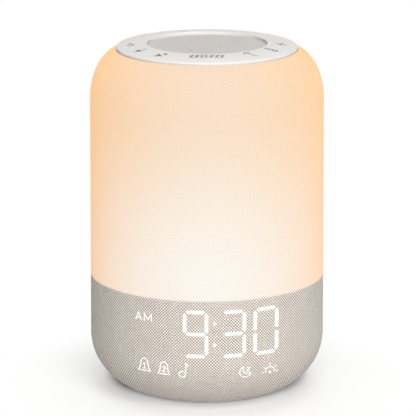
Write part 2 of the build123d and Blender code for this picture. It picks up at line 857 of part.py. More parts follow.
def display_diodes():
    """One small diode behind each light guide."""
    diodes = []
    for outline in lit_outlines(0.0):
        x = sum(p[0] for p in outline) / len(outline)
        z = sum(p[1] for p in outline) / len(outline)
        half = diode_size / 2
        diodes.append(block(x - half, x + half, -display_plane - diode_height, -display_plane,
                            z - half, z + half))
    return diodes


def display_header():
    """Row of right-angle pins between the display board and the main board."""
    back = -display_plane + board_thickness
    return block(-header_width / 2, header_width / 2, back, back + header_depth,
                 main_board_top_z, main_board_top_z + header_rise)


# ---- Main board ----
def main_board():
    board = disc(main_board_radius, main_board_height, main_board_top_z)
    for x, y in board_screw_places:
        board -= screw_hole(x, y, main_board_height, main_board_top_z)
    return board


def board_screws():
    length = board_thickness + screw_engagement - seat_gap
    return [screw(x, y, main_board_top_z, length, up=False) for x, y in board_screw_places]


def board_chips():
    """Clock, amplifier and light driver chips."""
    top = main_board_top_z
    return [block(x - w / 2, x + w / 2, y - d / 2, y + d / 2, top, top + chip_rise)
            for x, y, w, d in chip_places]


def capacitors():
    top = main_board_top_z
    return [disc(capacitor_radius, top, top + capacitor_rise, x, y) for x, y in capacitor_places]


def cable_connector():
    """Socket on the main board for the flat cable to the top."""
    top = main_board_top_z
    return block(-connector_width / 2, connector_width / 2, -connector_depth / 2, connector_depth / 2,
                 top, top + connector_rise)


# ---- Rear panel, keys and power socket ----
key_guide_plane = body_radius - key_guide_depth
socket_face = body_radius_at(socket_height) - socket_setback
socket_half = socket_width / 2
key_board_face = key_guide_plane - seat_gap - key_flange_thickness - key_travel - plunger_gap \
    - plunger_rise - switch_rise
key_board_back = key_board_face - board_thickness


def rear_panel():
    """Curved plate with the key guides, two posts and the plug's clearance hole."""
    plate = (panel_outer - shell_inner) & prism(panel_half_width, panel_low, panel_high, panel_corner,
                                                 0, reach)
    inside = Part()
    for x, z in key_places.values():
        inside += rod(key_radius + key_fit + key_guide_wall, x, z, key_guide_plane, reach)
    for x, z in key_post_places:
        inside += rod(key_post_radius, x, z, key_board_face, reach)
    panel = plate + (inside & shell_middle)
    for x, z in key_places.values():
        panel -= rod(key_radius + key_fit, x, z, key_guide_plane - 1, reach)
    for x, z in key_post_places:
        panel -= rod(screw_radius + screw_hole_fit, x, z, key_board_face,
                     key_board_face + screw_engagement)
    half = socket_half + socket_fit
    panel -= block(-half, half, 0, socket_face + socket_fit, socket_height - half, socket_height + half)
    return panel - rod(plug_clearance, 0, socket_height, socket_face, reach)


key_body = body_solid(-key_proud)


def rear_key(x, z):
    """Round push key; its flange stops it behind its guide."""
    flange_face = key_guide_plane - seat_gap
    flange_back = flange_face - key_flange_thickness
    cap = rod(key_radius, x, z, flange_back, reach) & key_body
    return cap + rod(key_radius + key_flange_width, x, z, flange_back, flange_face)


def key_board():
    board = block(-key_board_half_width, key_board_half_width, key_board_back, key_board_face,
                  key_board_low, key_board_high)
    for x, z in key_post_places:
        board -= rod(screw_radius + screw_hole_fit, x, z, key_board_back, key_board_face)
    half = socket_half + seat_gap
    return board - block(-half, half, key_board_back, key_board_face, 0, socket_height + half)


def key_switches():
    """Tactile switch behind each key."""
    switches = []
    half = switch_size / 2
    top = key_board_face + switch_rise
    for x, z in key_places.values():
        body = block(x - half, x + half, key_board_face, top, z - half, z + half)
        switches.append(body + rod(plunger_radius, x, z, top, top + plunger_rise))
    return switches


def key_board_screws():
    """Two screws through the key board into the panel's posts."""
    screws = []
    for x, z in key_post_places:
        head = rod(screw_head_radius, x, z, key_board_back - screw_head_height, key_board_back)
        end = key_board_face + screw_engagement - seat_gap
        screws.append(head + rod(screw_radius, x, z, key_board_back, end))
    return screws


def key_cable():
    """Flat cable from the main board up the back of the key board."""
    high = key_places["minus_key"][1]
    back = key_board_back - seat_gap - key_cable_thickness
    return block(key_cable_x, key_cable_x + key_cable_width, back, back + key_cable_thickness,
                 main_board_top_z, high)


def power_socket():
    """Barrel socket held in the notch of the key board."""
    body = block(-socket_half, socket_half, socket_face - socket_depth, socket_face,
                 socket_height - socket_half, socket_height + socket_half)
    return body - rod(socket_bore, 0, socket_height, socket_face - socket_bore_depth, socket_face)


def socket_pin():
    return rod(socket_pin_radius, 0, socket_height, socket_face - socket_bore_depth,
               socket_face - socket_pin_setback)


# ---- Base ----
door_top_z = base_top_z - 2 * door_lug_clear
lug_low_z = door_top_z - door_lug_thickness
lug_groove_radius = door_radius + door_lug_reach + 2 * door_fit
cell_low_z = base_top_z + cell_gap + holder_flange / 2
holder_low_z = base_top_z + cell_gap
contact_low_z = cell_low_z + cell_thickness + cell_gap
holder_roof_z = contact_low_z + cell_contact_thickness + cell_gap


def lug_pair(radius, angle, z_low, z_high, turn=0.0):
    """Two opposite sectors of a disc."""
    half = radians(angle / 2)
    far = radius / cos(half)
    corners = [(0, 0), (far * cos(half), -far * sin(half)), (far * cos(half), far * sin(half))]
    wedge = extrude(make_face(Polyline(*corners, close=True)), z_high - z_low)
    wedge = Pos(0, 0, z_low) * wedge
    pair = wedge + Rot(0, 0, 180) * wedge
    return Rot(0, 0, turn) * (pair & disc(radius, z_low, z_high))


def base_plate():
    """Round bottom cover with the foot's groove and the battery door's bayonet."""
    groove_z = foot_top_z
    plate = disc(base_opening_radius - base_plate_fit, underside, base_top_z)
    plate -= ring(foot_inner - foot_fit, foot_outer + foot_fit, underside, groove_z)
    plate -= disc(door_radius + door_fit, underside, base_top_z)
    plate -= disc(lug_groove_radius, lug_low_z - door_lug_clear, base_top_z)
    plate -= lug_pair(lug_groove_radius, door_lug_angle + door_lug_play, underside, base_top_z, door_twist)
    for x, y in base_screw_places:
        plate -= disc(screw_head_radius + foot_fit, groove_z, groove_z + screw_head_height, x, y)
        plate -= screw_hole(x, y, groove_z, base_top_z)
    return plate


def foot_ring():
    """Soft ring that the clock stands on; it hides the base screws."""
    return ring(foot_inner, foot_outer, 0, foot_top_z)


def base_screws():
    head_z = foot_top_z + screw_head_height
    length = base_top_z - head_z + screw_engagement
    return [screw(x, y, head_z, length) for x, y in base_screw_places]


def battery_door():
    """Quarter-turn door with a coin slot and two lugs."""
    low = underside + door_recess
    door = disc(door_radius, low, door_top_z)
    door += lug_pair(door_radius + door_lug_reach, door_lug_angle, lug_low_z, door_top_z)
    door += disc(door_boss_radius, door_top_z, cell_low_z - 2 * cell_gap)
    return door - block(-door_slot_length / 2, door_slot_length / 2, -door_slot_width / 2,
                        door_slot_width / 2, low, low + door_slot_depth)


def coin_cell():
    """Button cell with the smaller rim on its negative side."""
    rim = cell_thickness / 4
    return disc(cell_radius - 1, cell_low_z, cell_low_z + rim) \
        + disc(cell_radius, cell_low_z + rim, cell_low_z + cell_thickness)


def cell_contact():
    """Spring plate that presses on the cell."""
    return disc(cell_radius - 2, contact_low_z, contact_low_z + cell_contact_thickness)


def cell_holder():
    """Cup that holds the cell above its door."""
    bore = cell_radius + cell_fit
    cup = disc(bore + holder_wall, holder_low_z, holder_roof_z + holder_roof)
    cup += disc(holder_flange_radius, holder_low_z, holder_low_z + holder_flange)
    return cup - disc(bore, holder_low_z, holder_roof_z)


# ---- Write every sub-part ----
parts = {
    "fabric_sleeve": fabric_sleeve(),
    "control_ring": control_ring(),
    "touch_board": touch_board(),
    "grille_cloth": grille_cloth(),
    "grille_mesh": grille_mesh(),
    "top_frame": top_frame(),
    "top_screws": top_screws(),
    "speaker_gasket": speaker_gasket(),
    "speaker_basket": speaker_basket(),
    "speaker_surround": speaker_surround(),
    "speaker_cone": speaker_cone(),
    "speaker_dust_cap": speaker_dust_cap(),
    "speaker_voice_coil": speaker_voice_coil(),
    "speaker_spider": speaker_spider(),
    "speaker_top_plate": speaker_top_plate(),
    "speaker_magnet": speaker_magnet(),
    "speaker_yoke": speaker_yoke(),
    "speaker_chamber": speaker_chamber(),
    "chamber_screws": chamber_screws(),
    "diffuser_shell": diffuser_shell(),
    "light_baffle": light_baffle(),
    "wire_duct": wire_duct(),
    "light_board": light_board(),
    "light_diodes": light_diodes(),
    "top_cable": top_cable(),
    "lower_shell": lower_shell(),
    "display_window": display_window(),
    "display_mask": display_mask(),
    "segment_guides": segment_guides(),
    "display_board": display_board(),
    "display_diodes": display_diodes(),
    "display_header": display_header(),
    "main_board": main_board(),
    "board_screws": board_screws(),
    "board_chips": board_chips(),
    "capacitors": capacitors(),
    "cable_connector": cable_connector(),
    "rear_panel": rear_panel(),
    "key_board": key_board(),
    "key_switches": key_switches(),
    "key_board_screws": key_board_screws(),
    "key_cable": key_cable(),
    "power_socket": power_socket(),
    "socket_pin": socket_pin(),
    "base_plate": base_plate(),
    "foot_ring": foot_ring(),
    "base_screws": base_screws(),
    "battery_door": battery_door(),
    "coin_cell": coin_cell(),
    "cell_contact": cell_contact(),
    "cell_holder": cell_holder(),
}
for key_name, (key_x, key_z) in key_places.items():
    parts[key_name] = rear_key(key_x, key_z)

os.makedirs("parts", exist_ok=True)
for node, shape in parts.items():
    if isinstance(shape, list):
        solids = [solid for piece in shape for solid in piece.solids()]
        shape = Compound(solids)
    export_step(shape, "parts/" + node + ".step")
print(len(parts), "sub-parts; overall height", round(ring_lip_z, 2), "mm; opening at",
      round(opening_radius, 2), round(opening_height, 2))
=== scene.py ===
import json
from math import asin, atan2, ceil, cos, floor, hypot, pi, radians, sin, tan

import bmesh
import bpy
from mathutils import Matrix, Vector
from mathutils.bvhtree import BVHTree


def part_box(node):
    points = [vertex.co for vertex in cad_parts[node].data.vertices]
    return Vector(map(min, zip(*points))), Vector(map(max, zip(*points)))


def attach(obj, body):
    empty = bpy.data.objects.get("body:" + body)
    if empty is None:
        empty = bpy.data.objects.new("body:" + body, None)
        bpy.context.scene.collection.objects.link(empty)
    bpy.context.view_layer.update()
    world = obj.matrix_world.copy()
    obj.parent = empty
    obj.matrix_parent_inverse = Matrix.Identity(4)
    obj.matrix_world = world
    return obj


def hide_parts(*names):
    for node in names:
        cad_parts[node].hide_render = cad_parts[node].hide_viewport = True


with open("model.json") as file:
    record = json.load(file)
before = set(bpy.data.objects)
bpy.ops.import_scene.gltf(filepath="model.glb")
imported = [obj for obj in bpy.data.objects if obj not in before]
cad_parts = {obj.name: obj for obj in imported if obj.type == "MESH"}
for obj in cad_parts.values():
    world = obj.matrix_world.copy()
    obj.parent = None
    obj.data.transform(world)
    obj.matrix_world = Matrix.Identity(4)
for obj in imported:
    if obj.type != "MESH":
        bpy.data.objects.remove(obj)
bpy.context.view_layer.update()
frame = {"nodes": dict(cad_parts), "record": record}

# %% [markdown]
# # A sunrise alarm clock, dressed for its portrait
# The imported model is already standing in the scene: shells, boards, speaker, keys and base, all at
# their real size in metres, with the middle of the foot at the origin, +Z up and the display
# towards -Y.  This lesson adds what the eye meets first: the woven cover with its glow, the lit
# time, the printed touch signs, and a finish for every moulding, board and screw underneath.

MM = 0.001

# %% [markdown]
# ## Two small helpers
# Camera, lamps, table and pieces all come in the same way: an object is made round some data and
# linked into the scene, at the origin.  A mesh is first built as a bmesh and written out once.

# %% Helpers for objects
def placed(name, data):
    """A new object with this data, linked into the scene."""
    made = bpy.data.objects.new(name, data)
    bpy.context.scene.collection.objects.link(made)
    return made


def mesh_from(name, bm):
    """The bmesh written out as a mesh."""
    data = bpy.data.meshes.new(name)
    bm.to_mesh(data)
    bm.free()
    return data


print("helpers for objects ready")

# %% [markdown]
# ## The camera
# A clock on a bedside table is seen from a little above.  The camera stands well back with a long
# lens, so the drum's sides stay almost parallel.  Its place is worked out from a distance and an
# angle above the horizontal, and a small lens shift sets the clock in the frame.

# %% Camera
EYE_DISTANCE = 1.3467        # metres
EYE_ELEVATION = radians(14.15)
LOOK_HEIGHT = 82.5 * MM
FOCAL_LENGTH = 246.4         # millimetres on a 36 mm wide sensor
FRAME_SHIFT = (0.0025, 0.0210)               # shares of the frame's width

camera_data = bpy.data.cameras.new("camera")
camera_data.lens = FOCAL_LENGTH
camera_data.shift_x, camera_data.shift_y = FRAME_SHIFT
camera = placed("camera", camera_data)
target = Vector((0, 0, LOOK_HEIGHT))
eye = target + EYE_DISTANCE * Vector((0, -cos(EYE_ELEVATION), sin(EYE_ELEVATION)))
camera.location = eye
camera.rotation_euler = (target - eye).to_track_quat("-Z", "Y").to_euler()
bpy.context.scene.camera = camera
print("camera at", [round(v, 4) for v in eye])

# %% [markdown]
# ## A kit for writing finishes
# Every finish below is a small tree of shader nodes.  Typing each node and link in full would bury
# the idea of the finish, so `Nodes` gives the few steps that the trees share: do a sum, read a noise,
# mix two colours.  A plain number may stand wherever a socket may.  The sky is such a tree too, and
# a `Finish` is one round the all-purpose shader, with bumps and gentle shades of a colour.

# %% The finish kit
NOISE_RANGE = (0.3, 0.7)     # where nearly all of a noise lies


class Nodes:
    """A tree of shader nodes that grows one step at a time."""

    def __init__(self, tree):
        self.tree = tree
        self.tree.nodes.clear()

    def node(self, kind, **settings):
        """A new node of a kind, with its settings."""
        made = self.tree.nodes.new(kind)
        for key, value in settings.items():
            setattr(made, key, value)
        return made

    def feed(self, socket, value):
        """Links a socket to an input, or writes a number or a colour into it."""
        if isinstance(value, bpy.types.NodeSocket):
            self.tree.links.new(value, socket)
        elif socket.type == "RGBA":
            socket.default_value = (*value, 1.0)
        else:
            socket.default_value = value

    def fed(self, made, **values):
        """The node with its inputs fed by name, where _ stands for a space."""
        for name, value in values.items():
            self.feed(made.inputs[name.replace("_", " ")], value)
        return made

    def sum(self, operation, a, b=0.0, c=0.0):
        """One step of arithmetic."""
        made = self.node("ShaderNodeMath", operation=operation)
        for socket, value in zip(made.inputs, (a, b, c)):
            self.feed(socket, value)
        return made.outputs[0]

    def product(self, *values):
        """All the values multiplied together."""
        total = values[0]
        for value in values[1:]:
            total = self.sum("MULTIPLY", total, value)
        return total

    def step(self, value, low, high, to_low=0.0, to_high=1.0, smooth=True):
        """Goes from to_low to to_high as the value goes from low to high."""
        made = self.node("ShaderNodeMapRange", interpolation_type="SMOOTHSTEP" if smooth else "LINEAR")
        self.fed(made, Value=value, From_Min=low, From_Max=high, To_Min=to_low, To_Max=to_high)
        return made.outputs["Result"]

    def mix(self, share, a, b, blend="MIX"):
        """Colour a at share 0, colour b at share 1."""
        made = self.node("ShaderNodeMix", data_type="RGBA", blend_type=blend)
        for index, value in ((0, share), (6, a), (7, b)):
            self.feed(made.inputs[index], value)
        return made.outputs[2]

    def place(self):
        """The point's place on the clock, in metres."""
        return self.node("ShaderNodeTexCoord").outputs["Object"]

    def split(self, vector):
        """The three parts of a vector."""
        return self.fed(self.node("ShaderNodeSeparateXYZ"), Vector=vector).outputs

    def stretched(self, vector, scale):
        """The vector times a scale for each direction."""
        return self.fed(self.node("ShaderNodeMapping"), Vector=vector, Scale=scale).outputs[0]

    def noise(self, vector, per_metre, detail=3.0, rough=0.55):
        """Soft noise from 0 to 1 with so many spots to a metre."""
        made = self.node("ShaderNodeTexNoise")
        return self.fed(made, Vector=vector, Scale=per_metre, Detail=detail, Roughness=rough).outputs[0]


class Finish(Nodes):
    """A material round the all-purpose shader."""

    def __init__(self, name):
        self.material = bpy.data.materials.new(name)
        self.material.use_nodes = True
        super().__init__(self.material.node_tree)
        self.shader = self.node("ShaderNodeBsdfPrincipled")
        self.fed(self.node("ShaderNodeOutputMaterial"), Surface=self.shader.outputs["BSDF"])

    def set(self, **sockets):
        """Feeds the shader's sockets by name."""
        self.fed(self.shader, **sockets)

    def bump(self, height, depth):
        """Turns a height from 0 to 1 into bumps of a depth in metres."""
        bumps = self.fed(self.node("ShaderNodeBump"), Height=height, Distance=depth, Strength=1.0)
        self.set(Normal=bumps.outputs[0])

    def shades(self, noise, colour, spread):
        """The colour, drifting a little darker and paler with the noise."""
        deep = tuple(v * (1 - spread) for v in colour)
        pale = tuple(min(1.0, v * (1 + spread)) for v in colour)
        return self.mix(self.step(noise, *NOISE_RANGE), deep, pale)

    def swing(self, noise, middle, spread):
        """A number that goes a little up and down with the noise."""
        return self.step(noise, *NOISE_RANGE, middle - spread, middle + spread)


print("finish kit ready")

# %% [markdown]
# ## The table
# The table is a wide white sheet of paper that fades into plain white further out, as a swept paper
# backdrop does.  Seen by the camera, or mirrored in something shiny, it keeps the clock's soft
# shadow near the foot.  A dark core under and behind the foot, and a weak skirt round it, are
# painted shadow: the lift that the camera sees is lowered there.

# %% Table
TABLE_HALF_WIDTH = 6.0       # metres
TABLE_DROP = 0.05 * MM       # so that the table's face never lies in the foot's own
PAPER = 0.80                 # how much light the paper sends back to the clock
PAPER_SEEN = 0.50            # how much of its shading the camera sees
PAPER_LIFT = 0.475           # what the camera sees on top of that
PAPER_FIBRES = 900.0         # spots to a metre in the paper's faint grain
FIBRE_SHADE = 0.985
SHADOW_REACH = (45.0 * MM, 110.0 * MM)       # where the shading starts to fade, and where it is gone
# the core and the skirt below are painted shadow
CORE_LIFT = 0.12             # the lift in the dark core of the shadow
CORE_BEHIND, CORE_NARROW = 19.5 * MM, 1.03   # the core lies behind the axis and is a little oval
CORE_REACH = (44.0 * MM, 52.5 * MM)
SKIRT_DEPTH = 0.08           # the weak skirt round the shadow takes this from the lift
SKIRT_BEHIND = -5.0 * MM
SKIRT_REACH = (33.0 * MM, 41.0 * MM, 57.0 * MM)         # where it starts, is deepest and ends


def seen_directly(nodes):
    """1 where the camera, a mirror or a clear piece looks at the surface."""
    path = nodes.node("ShaderNodeLightPath").outputs
    seen = nodes.sum("MAXIMUM", path["Is Camera Ray"], path["Is Glossy Ray"])
    return nodes.sum("MAXIMUM", seen, path["Is Transmission Ray"])


def from_point(finish, behind=0.0, narrow=1.0):
    """Distance on the plan from the axis, or from a point behind it; narrow makes its rings oval."""
    x, y, _ = finish.split(finish.place())
    across = finish.product(x, narrow)
    along = finish.sum("SUBTRACT", y, behind)
    square = finish.sum("MULTIPLY_ADD", across, across, finish.product(along, along))
    return finish.sum("SQRT", square)


paper = Finish("table_paper")
fibre = paper.noise(paper.place(), PAPER_FIBRES)
paper_grain = paper.mix(fibre, (1, 1, 1), (FIBRE_SHADE,) * 3)
faded = paper.step(from_point(paper), *SHADOW_REACH)
seen_shading = paper.mix(faded, (PAPER_SEEN,) * 3, (0, 0, 0))
sent_back = paper.mix(seen_directly(paper), (PAPER,) * 3, seen_shading)
# painted shadow: a dark core behind the foot and a weak skirt round it lower the lift
painted_core_lift = paper.step(from_point(paper, CORE_BEHIND, CORE_NARROW), *CORE_REACH, CORE_LIFT, PAPER_LIFT)
from_skirt = from_point(paper, SKIRT_BEHIND)
skirt_in = paper.step(from_skirt, *SKIRT_REACH[:2], 0.0, SKIRT_DEPTH)
skirt = paper.step(from_skirt, *SKIRT_REACH[1:], skirt_in, 0.0)
painted_shadow_lift = paper.sum("SUBTRACT", painted_core_lift, skirt)
seen_lift = paper.step(faded, 0.0, 1.0, painted_shadow_lift, 1.0, smooth=False)
paper.set(Base_Color=paper.mix(1.0, sent_back, paper_grain, blend="MULTIPLY"), Roughness=0.95,
          Specular_IOR_Level=0.0, Emission_Color=(1, 1, 1),
          Emission_Strength=paper.product(seen_directly(paper), seen_lift))
table_mesh = bmesh.new()
bmesh.ops.create_grid(table_mesh, x_segments=1, y_segments=1, size=TABLE_HALF_WIDTH)
bmesh.ops.translate(table_mesh, vec=(0, 0, -TABLE_DROP), verts=table_mesh.verts)
table = placed("table", mesh_from("table", table_mesh))
table.data.materials.append(paper.material)
print("table", TABLE_HALF_WIDTH * 2, "m wide")

# %% [markdown]
# ## The light
# The sky beyond the table is plain white too.  The light itself is even and modest: a faint
# all-round sky, a broad soft lamp from the front that leaves the drum's flanks a little darker, one
# higher up for the ring, and a weak one behind so that the back isn't flat.

# %% Sky and lamps
SKY_LIGHT = 0.12
LAMPS = {                    # turn from the front to the right, height angle, spread, strength
    "front_lamp": (13.0, 35.0, 45.0, 3.10),
    "high_lamp": (-15.0, 60.0, 45.0, 0.43),
    "rear_lamp": (180.0, 55.0, 45.0, 0.55),
}

world = bpy.data.worlds.new("studio")
world.use_nodes = True
bpy.context.scene.world = world
sky = Nodes(world.node_tree)
level = sky.step(seen_directly(sky), 0.0, 1.0, SKY_LIGHT, 1.0, smooth=False)
backdrop = sky.fed(sky.node("ShaderNodeBackground"), Color=(1, 1, 1), Strength=level)
sky.fed(sky.node("ShaderNodeOutputWorld"), Surface=backdrop.outputs[0])

for name, (turn, height, spread, strength) in LAMPS.items():
    lamp_data = bpy.data.lights.new(name, "SUN")
    lamp_data.energy = strength
    lamp_data.angle = radians(spread)
    lamp = placed(name, lamp_data)
    side = Vector((sin(radians(turn)), -cos(radians(turn)), 0)) * cos(radians(height))
    from_lamp = -(side + Vector((0, 0, sin(radians(height)))))
    lamp.rotation_euler = from_lamp.to_track_quat("-Z", "Y").to_euler()
bpy.context.scene.view_settings.view_transform = "Standard"
print(len(LAMPS), "lamps and a sky of", SKY_LIGHT)

# %% [markdown]
# ## The drum's section
# The cloth follows one section all round: a flat bottom, a wide rounded foot, a wall that leans in
# by 0.3 of a degree, and a shoulder that rolls over into the top opening.  The two rounds are
# quarter ellipses.  The few sizes below give the whole section; what the frame knows already, such
# as the ring's width, is read from its boxes.

# %% Section of the cloth's outside
BODY_RADIUS = 55.0 * MM      # at MEASURE_HEIGHT
MEASURE_HEIGHT = 82.5 * MM
DRAFT = tan(radians(0.3))
FLAT_RADIUS = 26.8 * MM
ROUND_FOOT = 0.6 * MM
ROUND_TOP = 27.4 * MM
SHOULDER_START = 140.45 * MM
SHOULDER_RUN = 15.7 * MM
SHOULDER_RISE = 23.7 * MM
SEAM_HEIGHT = 56.3 * MM
OPENING_GAP = 0.5 * MM       # between the ring and the cloth's opening

cover_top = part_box("fabric_sleeve")[1].z
OPENING_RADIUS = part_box("control_ring")[1].x + OPENING_GAP


def wall_radius(z):
    """Radius of the leaning wall at a height."""
    return BODY_RADIUS - DRAFT * (z - MEASURE_HEIGHT)


print("cloth radius at the seam", round(wall_radius(SEAM_HEIGHT) / MM, 2), "mm")

# %% [markdown]
# ## Helpers for making pieces
# A finished piece is one mesh with its place in its own points and its object at the origin.
# `new_piece` takes a bmesh, shades it smooth with sharp edges where faces meet steeply, and links
# it in.  `baked` runs a piece's modifiers and keeps the result as its mesh.

# %% Piece helpers
SHARP_ANGLE = radians(35)


def new_piece(name, bm, finish, body="clock"):
    """Turns a bmesh into a piece that rides on a body of the frame."""
    data = mesh_from(name, bm)
    data.polygons.foreach_set("use_smooth", [True] * len(data.polygons))
    data.set_sharp_from_angle(angle=SHARP_ANGLE)
    data.materials.append(finish.material)
    piece = placed(name, data)
    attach(piece, body)
    print(name, len(data.polygons), "faces")
    return piece


def spun(section, steps, closed=True):
    """A bmesh turned all the way round Z from section points (radius, height)."""
    bm = bmesh.new()
    verts = [bm.verts.new((r, 0, z)) for r, z in section]
    ends = verts[1:] + verts[:1] if closed else verts[1:]
    edges = [bm.edges.new(pair) for pair in zip(verts, ends)]
    bmesh.ops.spin(bm, geom=verts + edges, cent=(0, 0, 0), axis=(0, 0, 1), angle=2 * pi,
                   steps=steps, use_merge=True, use_duplicate=False)
    bmesh.ops.remove_doubles(bm, verts=bm.verts, dist=0.001 * MM)
    bmesh.ops.recalc_face_normals(bm, faces=bm.faces)
    return bm


def baked(piece):
    """Applies the piece's modifiers to its mesh."""
    graph = bpy.context.evaluated_depsgraph_get()
    result = bpy.data.meshes.new_from_object(piece.evaluated_get(graph))
    piece.modifiers.clear()
    piece.data = result


print("piece helpers ready")

# %% [markdown]
# ## The woven cover's shape
# The real cover is one piece of cloth pulled tight over both shells, with its edges turned under at
# the foot and inside the top opening.  A strip of section points, outside and then inside, is spun
# round the axis.  The turned edges are half circles, so that they catch the light like a fold.
# The opening for the rear panel is cut with a rounded block, because the cloth stops there too.

# %% Woven cover
CLOTH_THICKNESS = 0.8 * MM
HEM_RADIUS = 31.0 * MM
ROUND_STEPS = 26
WALL_STEPS = 24
SHOULDER_STEPS = 24
FOLD_STEPS = 4
COVER_TURNS = 240


def ellipse_arc(centre, run, rise, start, end, steps):
    """Points of an ellipse's arc; angles are measured from the outward horizontal."""
    angles = [start + (end - start) * i / steps for i in range(steps + 1)]
    return [(centre[0] + run * cos(a), centre[1] + rise * sin(a)) for a in angles]


def cover_section(inset):
    """The cloth's section from the hem up to the opening, inset from its outside."""
    foot_run = wall_radius(ROUND_TOP) - FLAT_RADIUS - inset
    foot_rise = ROUND_TOP - ROUND_FOOT - inset
    hem_angle = -pi / 2 + asin((HEM_RADIUS - FLAT_RADIUS) / foot_run)
    shoulder_run = SHOULDER_RUN - inset
    centre_x = wall_radius(SHOULDER_START) - SHOULDER_RUN
    top_angle = pi / 2 - asin((OPENING_RADIUS - centre_x) / shoulder_run)
    points = ellipse_arc((FLAT_RADIUS, ROUND_TOP), foot_run, foot_rise, hem_angle, 0, ROUND_STEPS)
    for i in range(1, WALL_STEPS):
        z = ROUND_TOP + (SHOULDER_START - ROUND_TOP) * i / WALL_STEPS
        points.append((wall_radius(z) - inset, z))
    points += ellipse_arc((centre_x, SHOULDER_START), shoulder_run, SHOULDER_RISE - inset,
                          0, top_angle, SHOULDER_STEPS)
    return points


def folded_edge(start, end):
    """Half circle of points between the ends of the outer and the inner section."""
    middle = (Vector(start) + Vector(end)) / 2
    arm = Vector(start) - middle
    turns = [Matrix.Rotation(pi * i / FOLD_STEPS, 2) for i in range(1, FOLD_STEPS)]
    return [tuple(middle + turn @ arm) for turn in turns]


outside = cover_section(0)
inside = cover_section(CLOTH_THICKNESS)[::-1]
section = outside + folded_edge(outside[-1], inside[0]) + inside + folded_edge(inside[-1], outside[0])
cover_mesh = spun(section, COVER_TURNS)
print("cover section of", len(section), "points")

# %% [markdown]
# The cloth's threads run round the drum and up it, so the weave needs a map that knows both
# directions: across, the distance round the drum; up, the distance along the section.  `weave_map`
# writes that map on any mesh that lies on the drum, so that the lit digits, made later, carry
# the very threads of the cover.  The thread count is rounded so that the weave closes behind.

# %% Map for the weave
THREAD_PITCH = 0.714 * MM
THREADS_ROUND = 2 * round(pi * BODY_RADIUS / THREAD_PITCH)
MAP_RADIUS = THREADS_ROUND * THREAD_PITCH / (2 * pi)
section_lengths = [0.0]
for (r0, z0), (r1, z1) in zip(outside, outside[1:]):
    section_lengths.append(section_lengths[-1] + hypot(r1 - r0, z1 - z0))
section_parts = list(zip(outside, outside[1:], section_lengths, section_lengths[1:]))


def length_at(z):
    """Distance along the section from the hem up to a height."""
    for (_, z0), (_, z1), low, high in section_parts:
        if z <= z1:
            return low + (high - low) * max(0.0, z - z0) / (z1 - z0)
    return section_lengths[-1]


def weave_map(piece):
    """Writes the map that the weave reads, in metres round and up the drum."""
    data = piece.data
    layer = data.uv_layers.new(name="weave")
    heights = [length_at(v.co.z) for v in data.vertices]
    turns = [atan2(v.co.x, -v.co.y) for v in data.vertices]
    for face in data.polygons:
        around = [turns[v] for v in face.vertices]
        wraps = max(around) - min(around) > pi
        for loop, vertex, turn in zip(face.loop_indices, face.vertices, around):
            if wraps and turn < 0:
                turn += 2 * pi
            layer.data[loop].uv = (turn * MAP_RADIUS, heights[vertex])


print(THREADS_ROUND, "threads round, section", round(section_lengths[-1] / MM, 1), "mm long")

# %% [markdown]
# ## The cloth
# A plain weave is a chequerboard of small crowns: cream threads running up lie over brown ones
# running round, then under the next.  One product of two sine waves gives both things at once.
# Its sign says which thread is on top, and its size says how high the crown stands there.
# Slow noise along each direction makes some threads a little thicker and paler than others.

# %% Weave
CREAM = (0.97, 0.91, 0.85)
BROWN = (0.27, 0.218, 0.176)
COLOUR_BLUR = 0.35           # how softly one thread's colour gives way to the other's
SLUB_SPOTS = ((1600.0, 120.0, 1.0), (120.0, 1600.0, 1.0))     # thick places to a metre, each way
SLUB_RANGE = (0.6, 1.4)      # where nearly all of the two noises' sum lies
THREAD_SHADES = (0.86, 1.12)                 # of the thinnest and of the thickest thread
GAP_REACH = (0.05, 0.75)     # crown heights between which a hole fades
GAP_SHADE = 0.8              # how dark the holes between the threads are
WEAVE_DEPTH = 0.12 * MM


def crossed(finish, across, up, pitch):
    """Two crossed waves: above 0 where the upright thread is on top, below 0 where the other is."""
    return finish.product(*[finish.sum("SINE", finish.product(way, pi / pitch)) for way in (across, up)])


def weave(finish, pitch=THREAD_PITCH):
    """Nodes of a plain weave: its map, which thread is on top (-1 to 1) and the crown's height."""
    thread_map = finish.node("ShaderNodeUVMap", uv_map="weave").outputs[0]
    over = crossed(finish, *finish.split(thread_map)[:2], pitch)
    crown = finish.sum("POWER", finish.sum("ABSOLUTE", over), 0.5)
    return thread_map, over, crown


def cloth_colour(finish, thread_map, over, crown, cream, brown):
    """Thread colour with thick and thin places, and darker holes between the threads."""
    colour = finish.mix(finish.step(over, -COLOUR_BLUR, COLOUR_BLUR), brown, cream)
    slubs = [finish.noise(finish.stretched(thread_map, spots), 1.0, 2.0) for spots in SLUB_SPOTS]
    uneven = finish.step(finish.sum("ADD", *slubs), *SLUB_RANGE, *THREAD_SHADES, smooth=False)
    shade = finish.product(uneven, finish.step(crown, *GAP_REACH, GAP_SHADE, 1.0))
    grey = finish.fed(finish.node("ShaderNodeCombineColor"), Red=shade, Green=shade, Blue=shade)
    return finish.mix(1.0, colour, grey.outputs[0], blend="MULTIPLY")


print("thread pitch", THREAD_PITCH / MM, "mm")
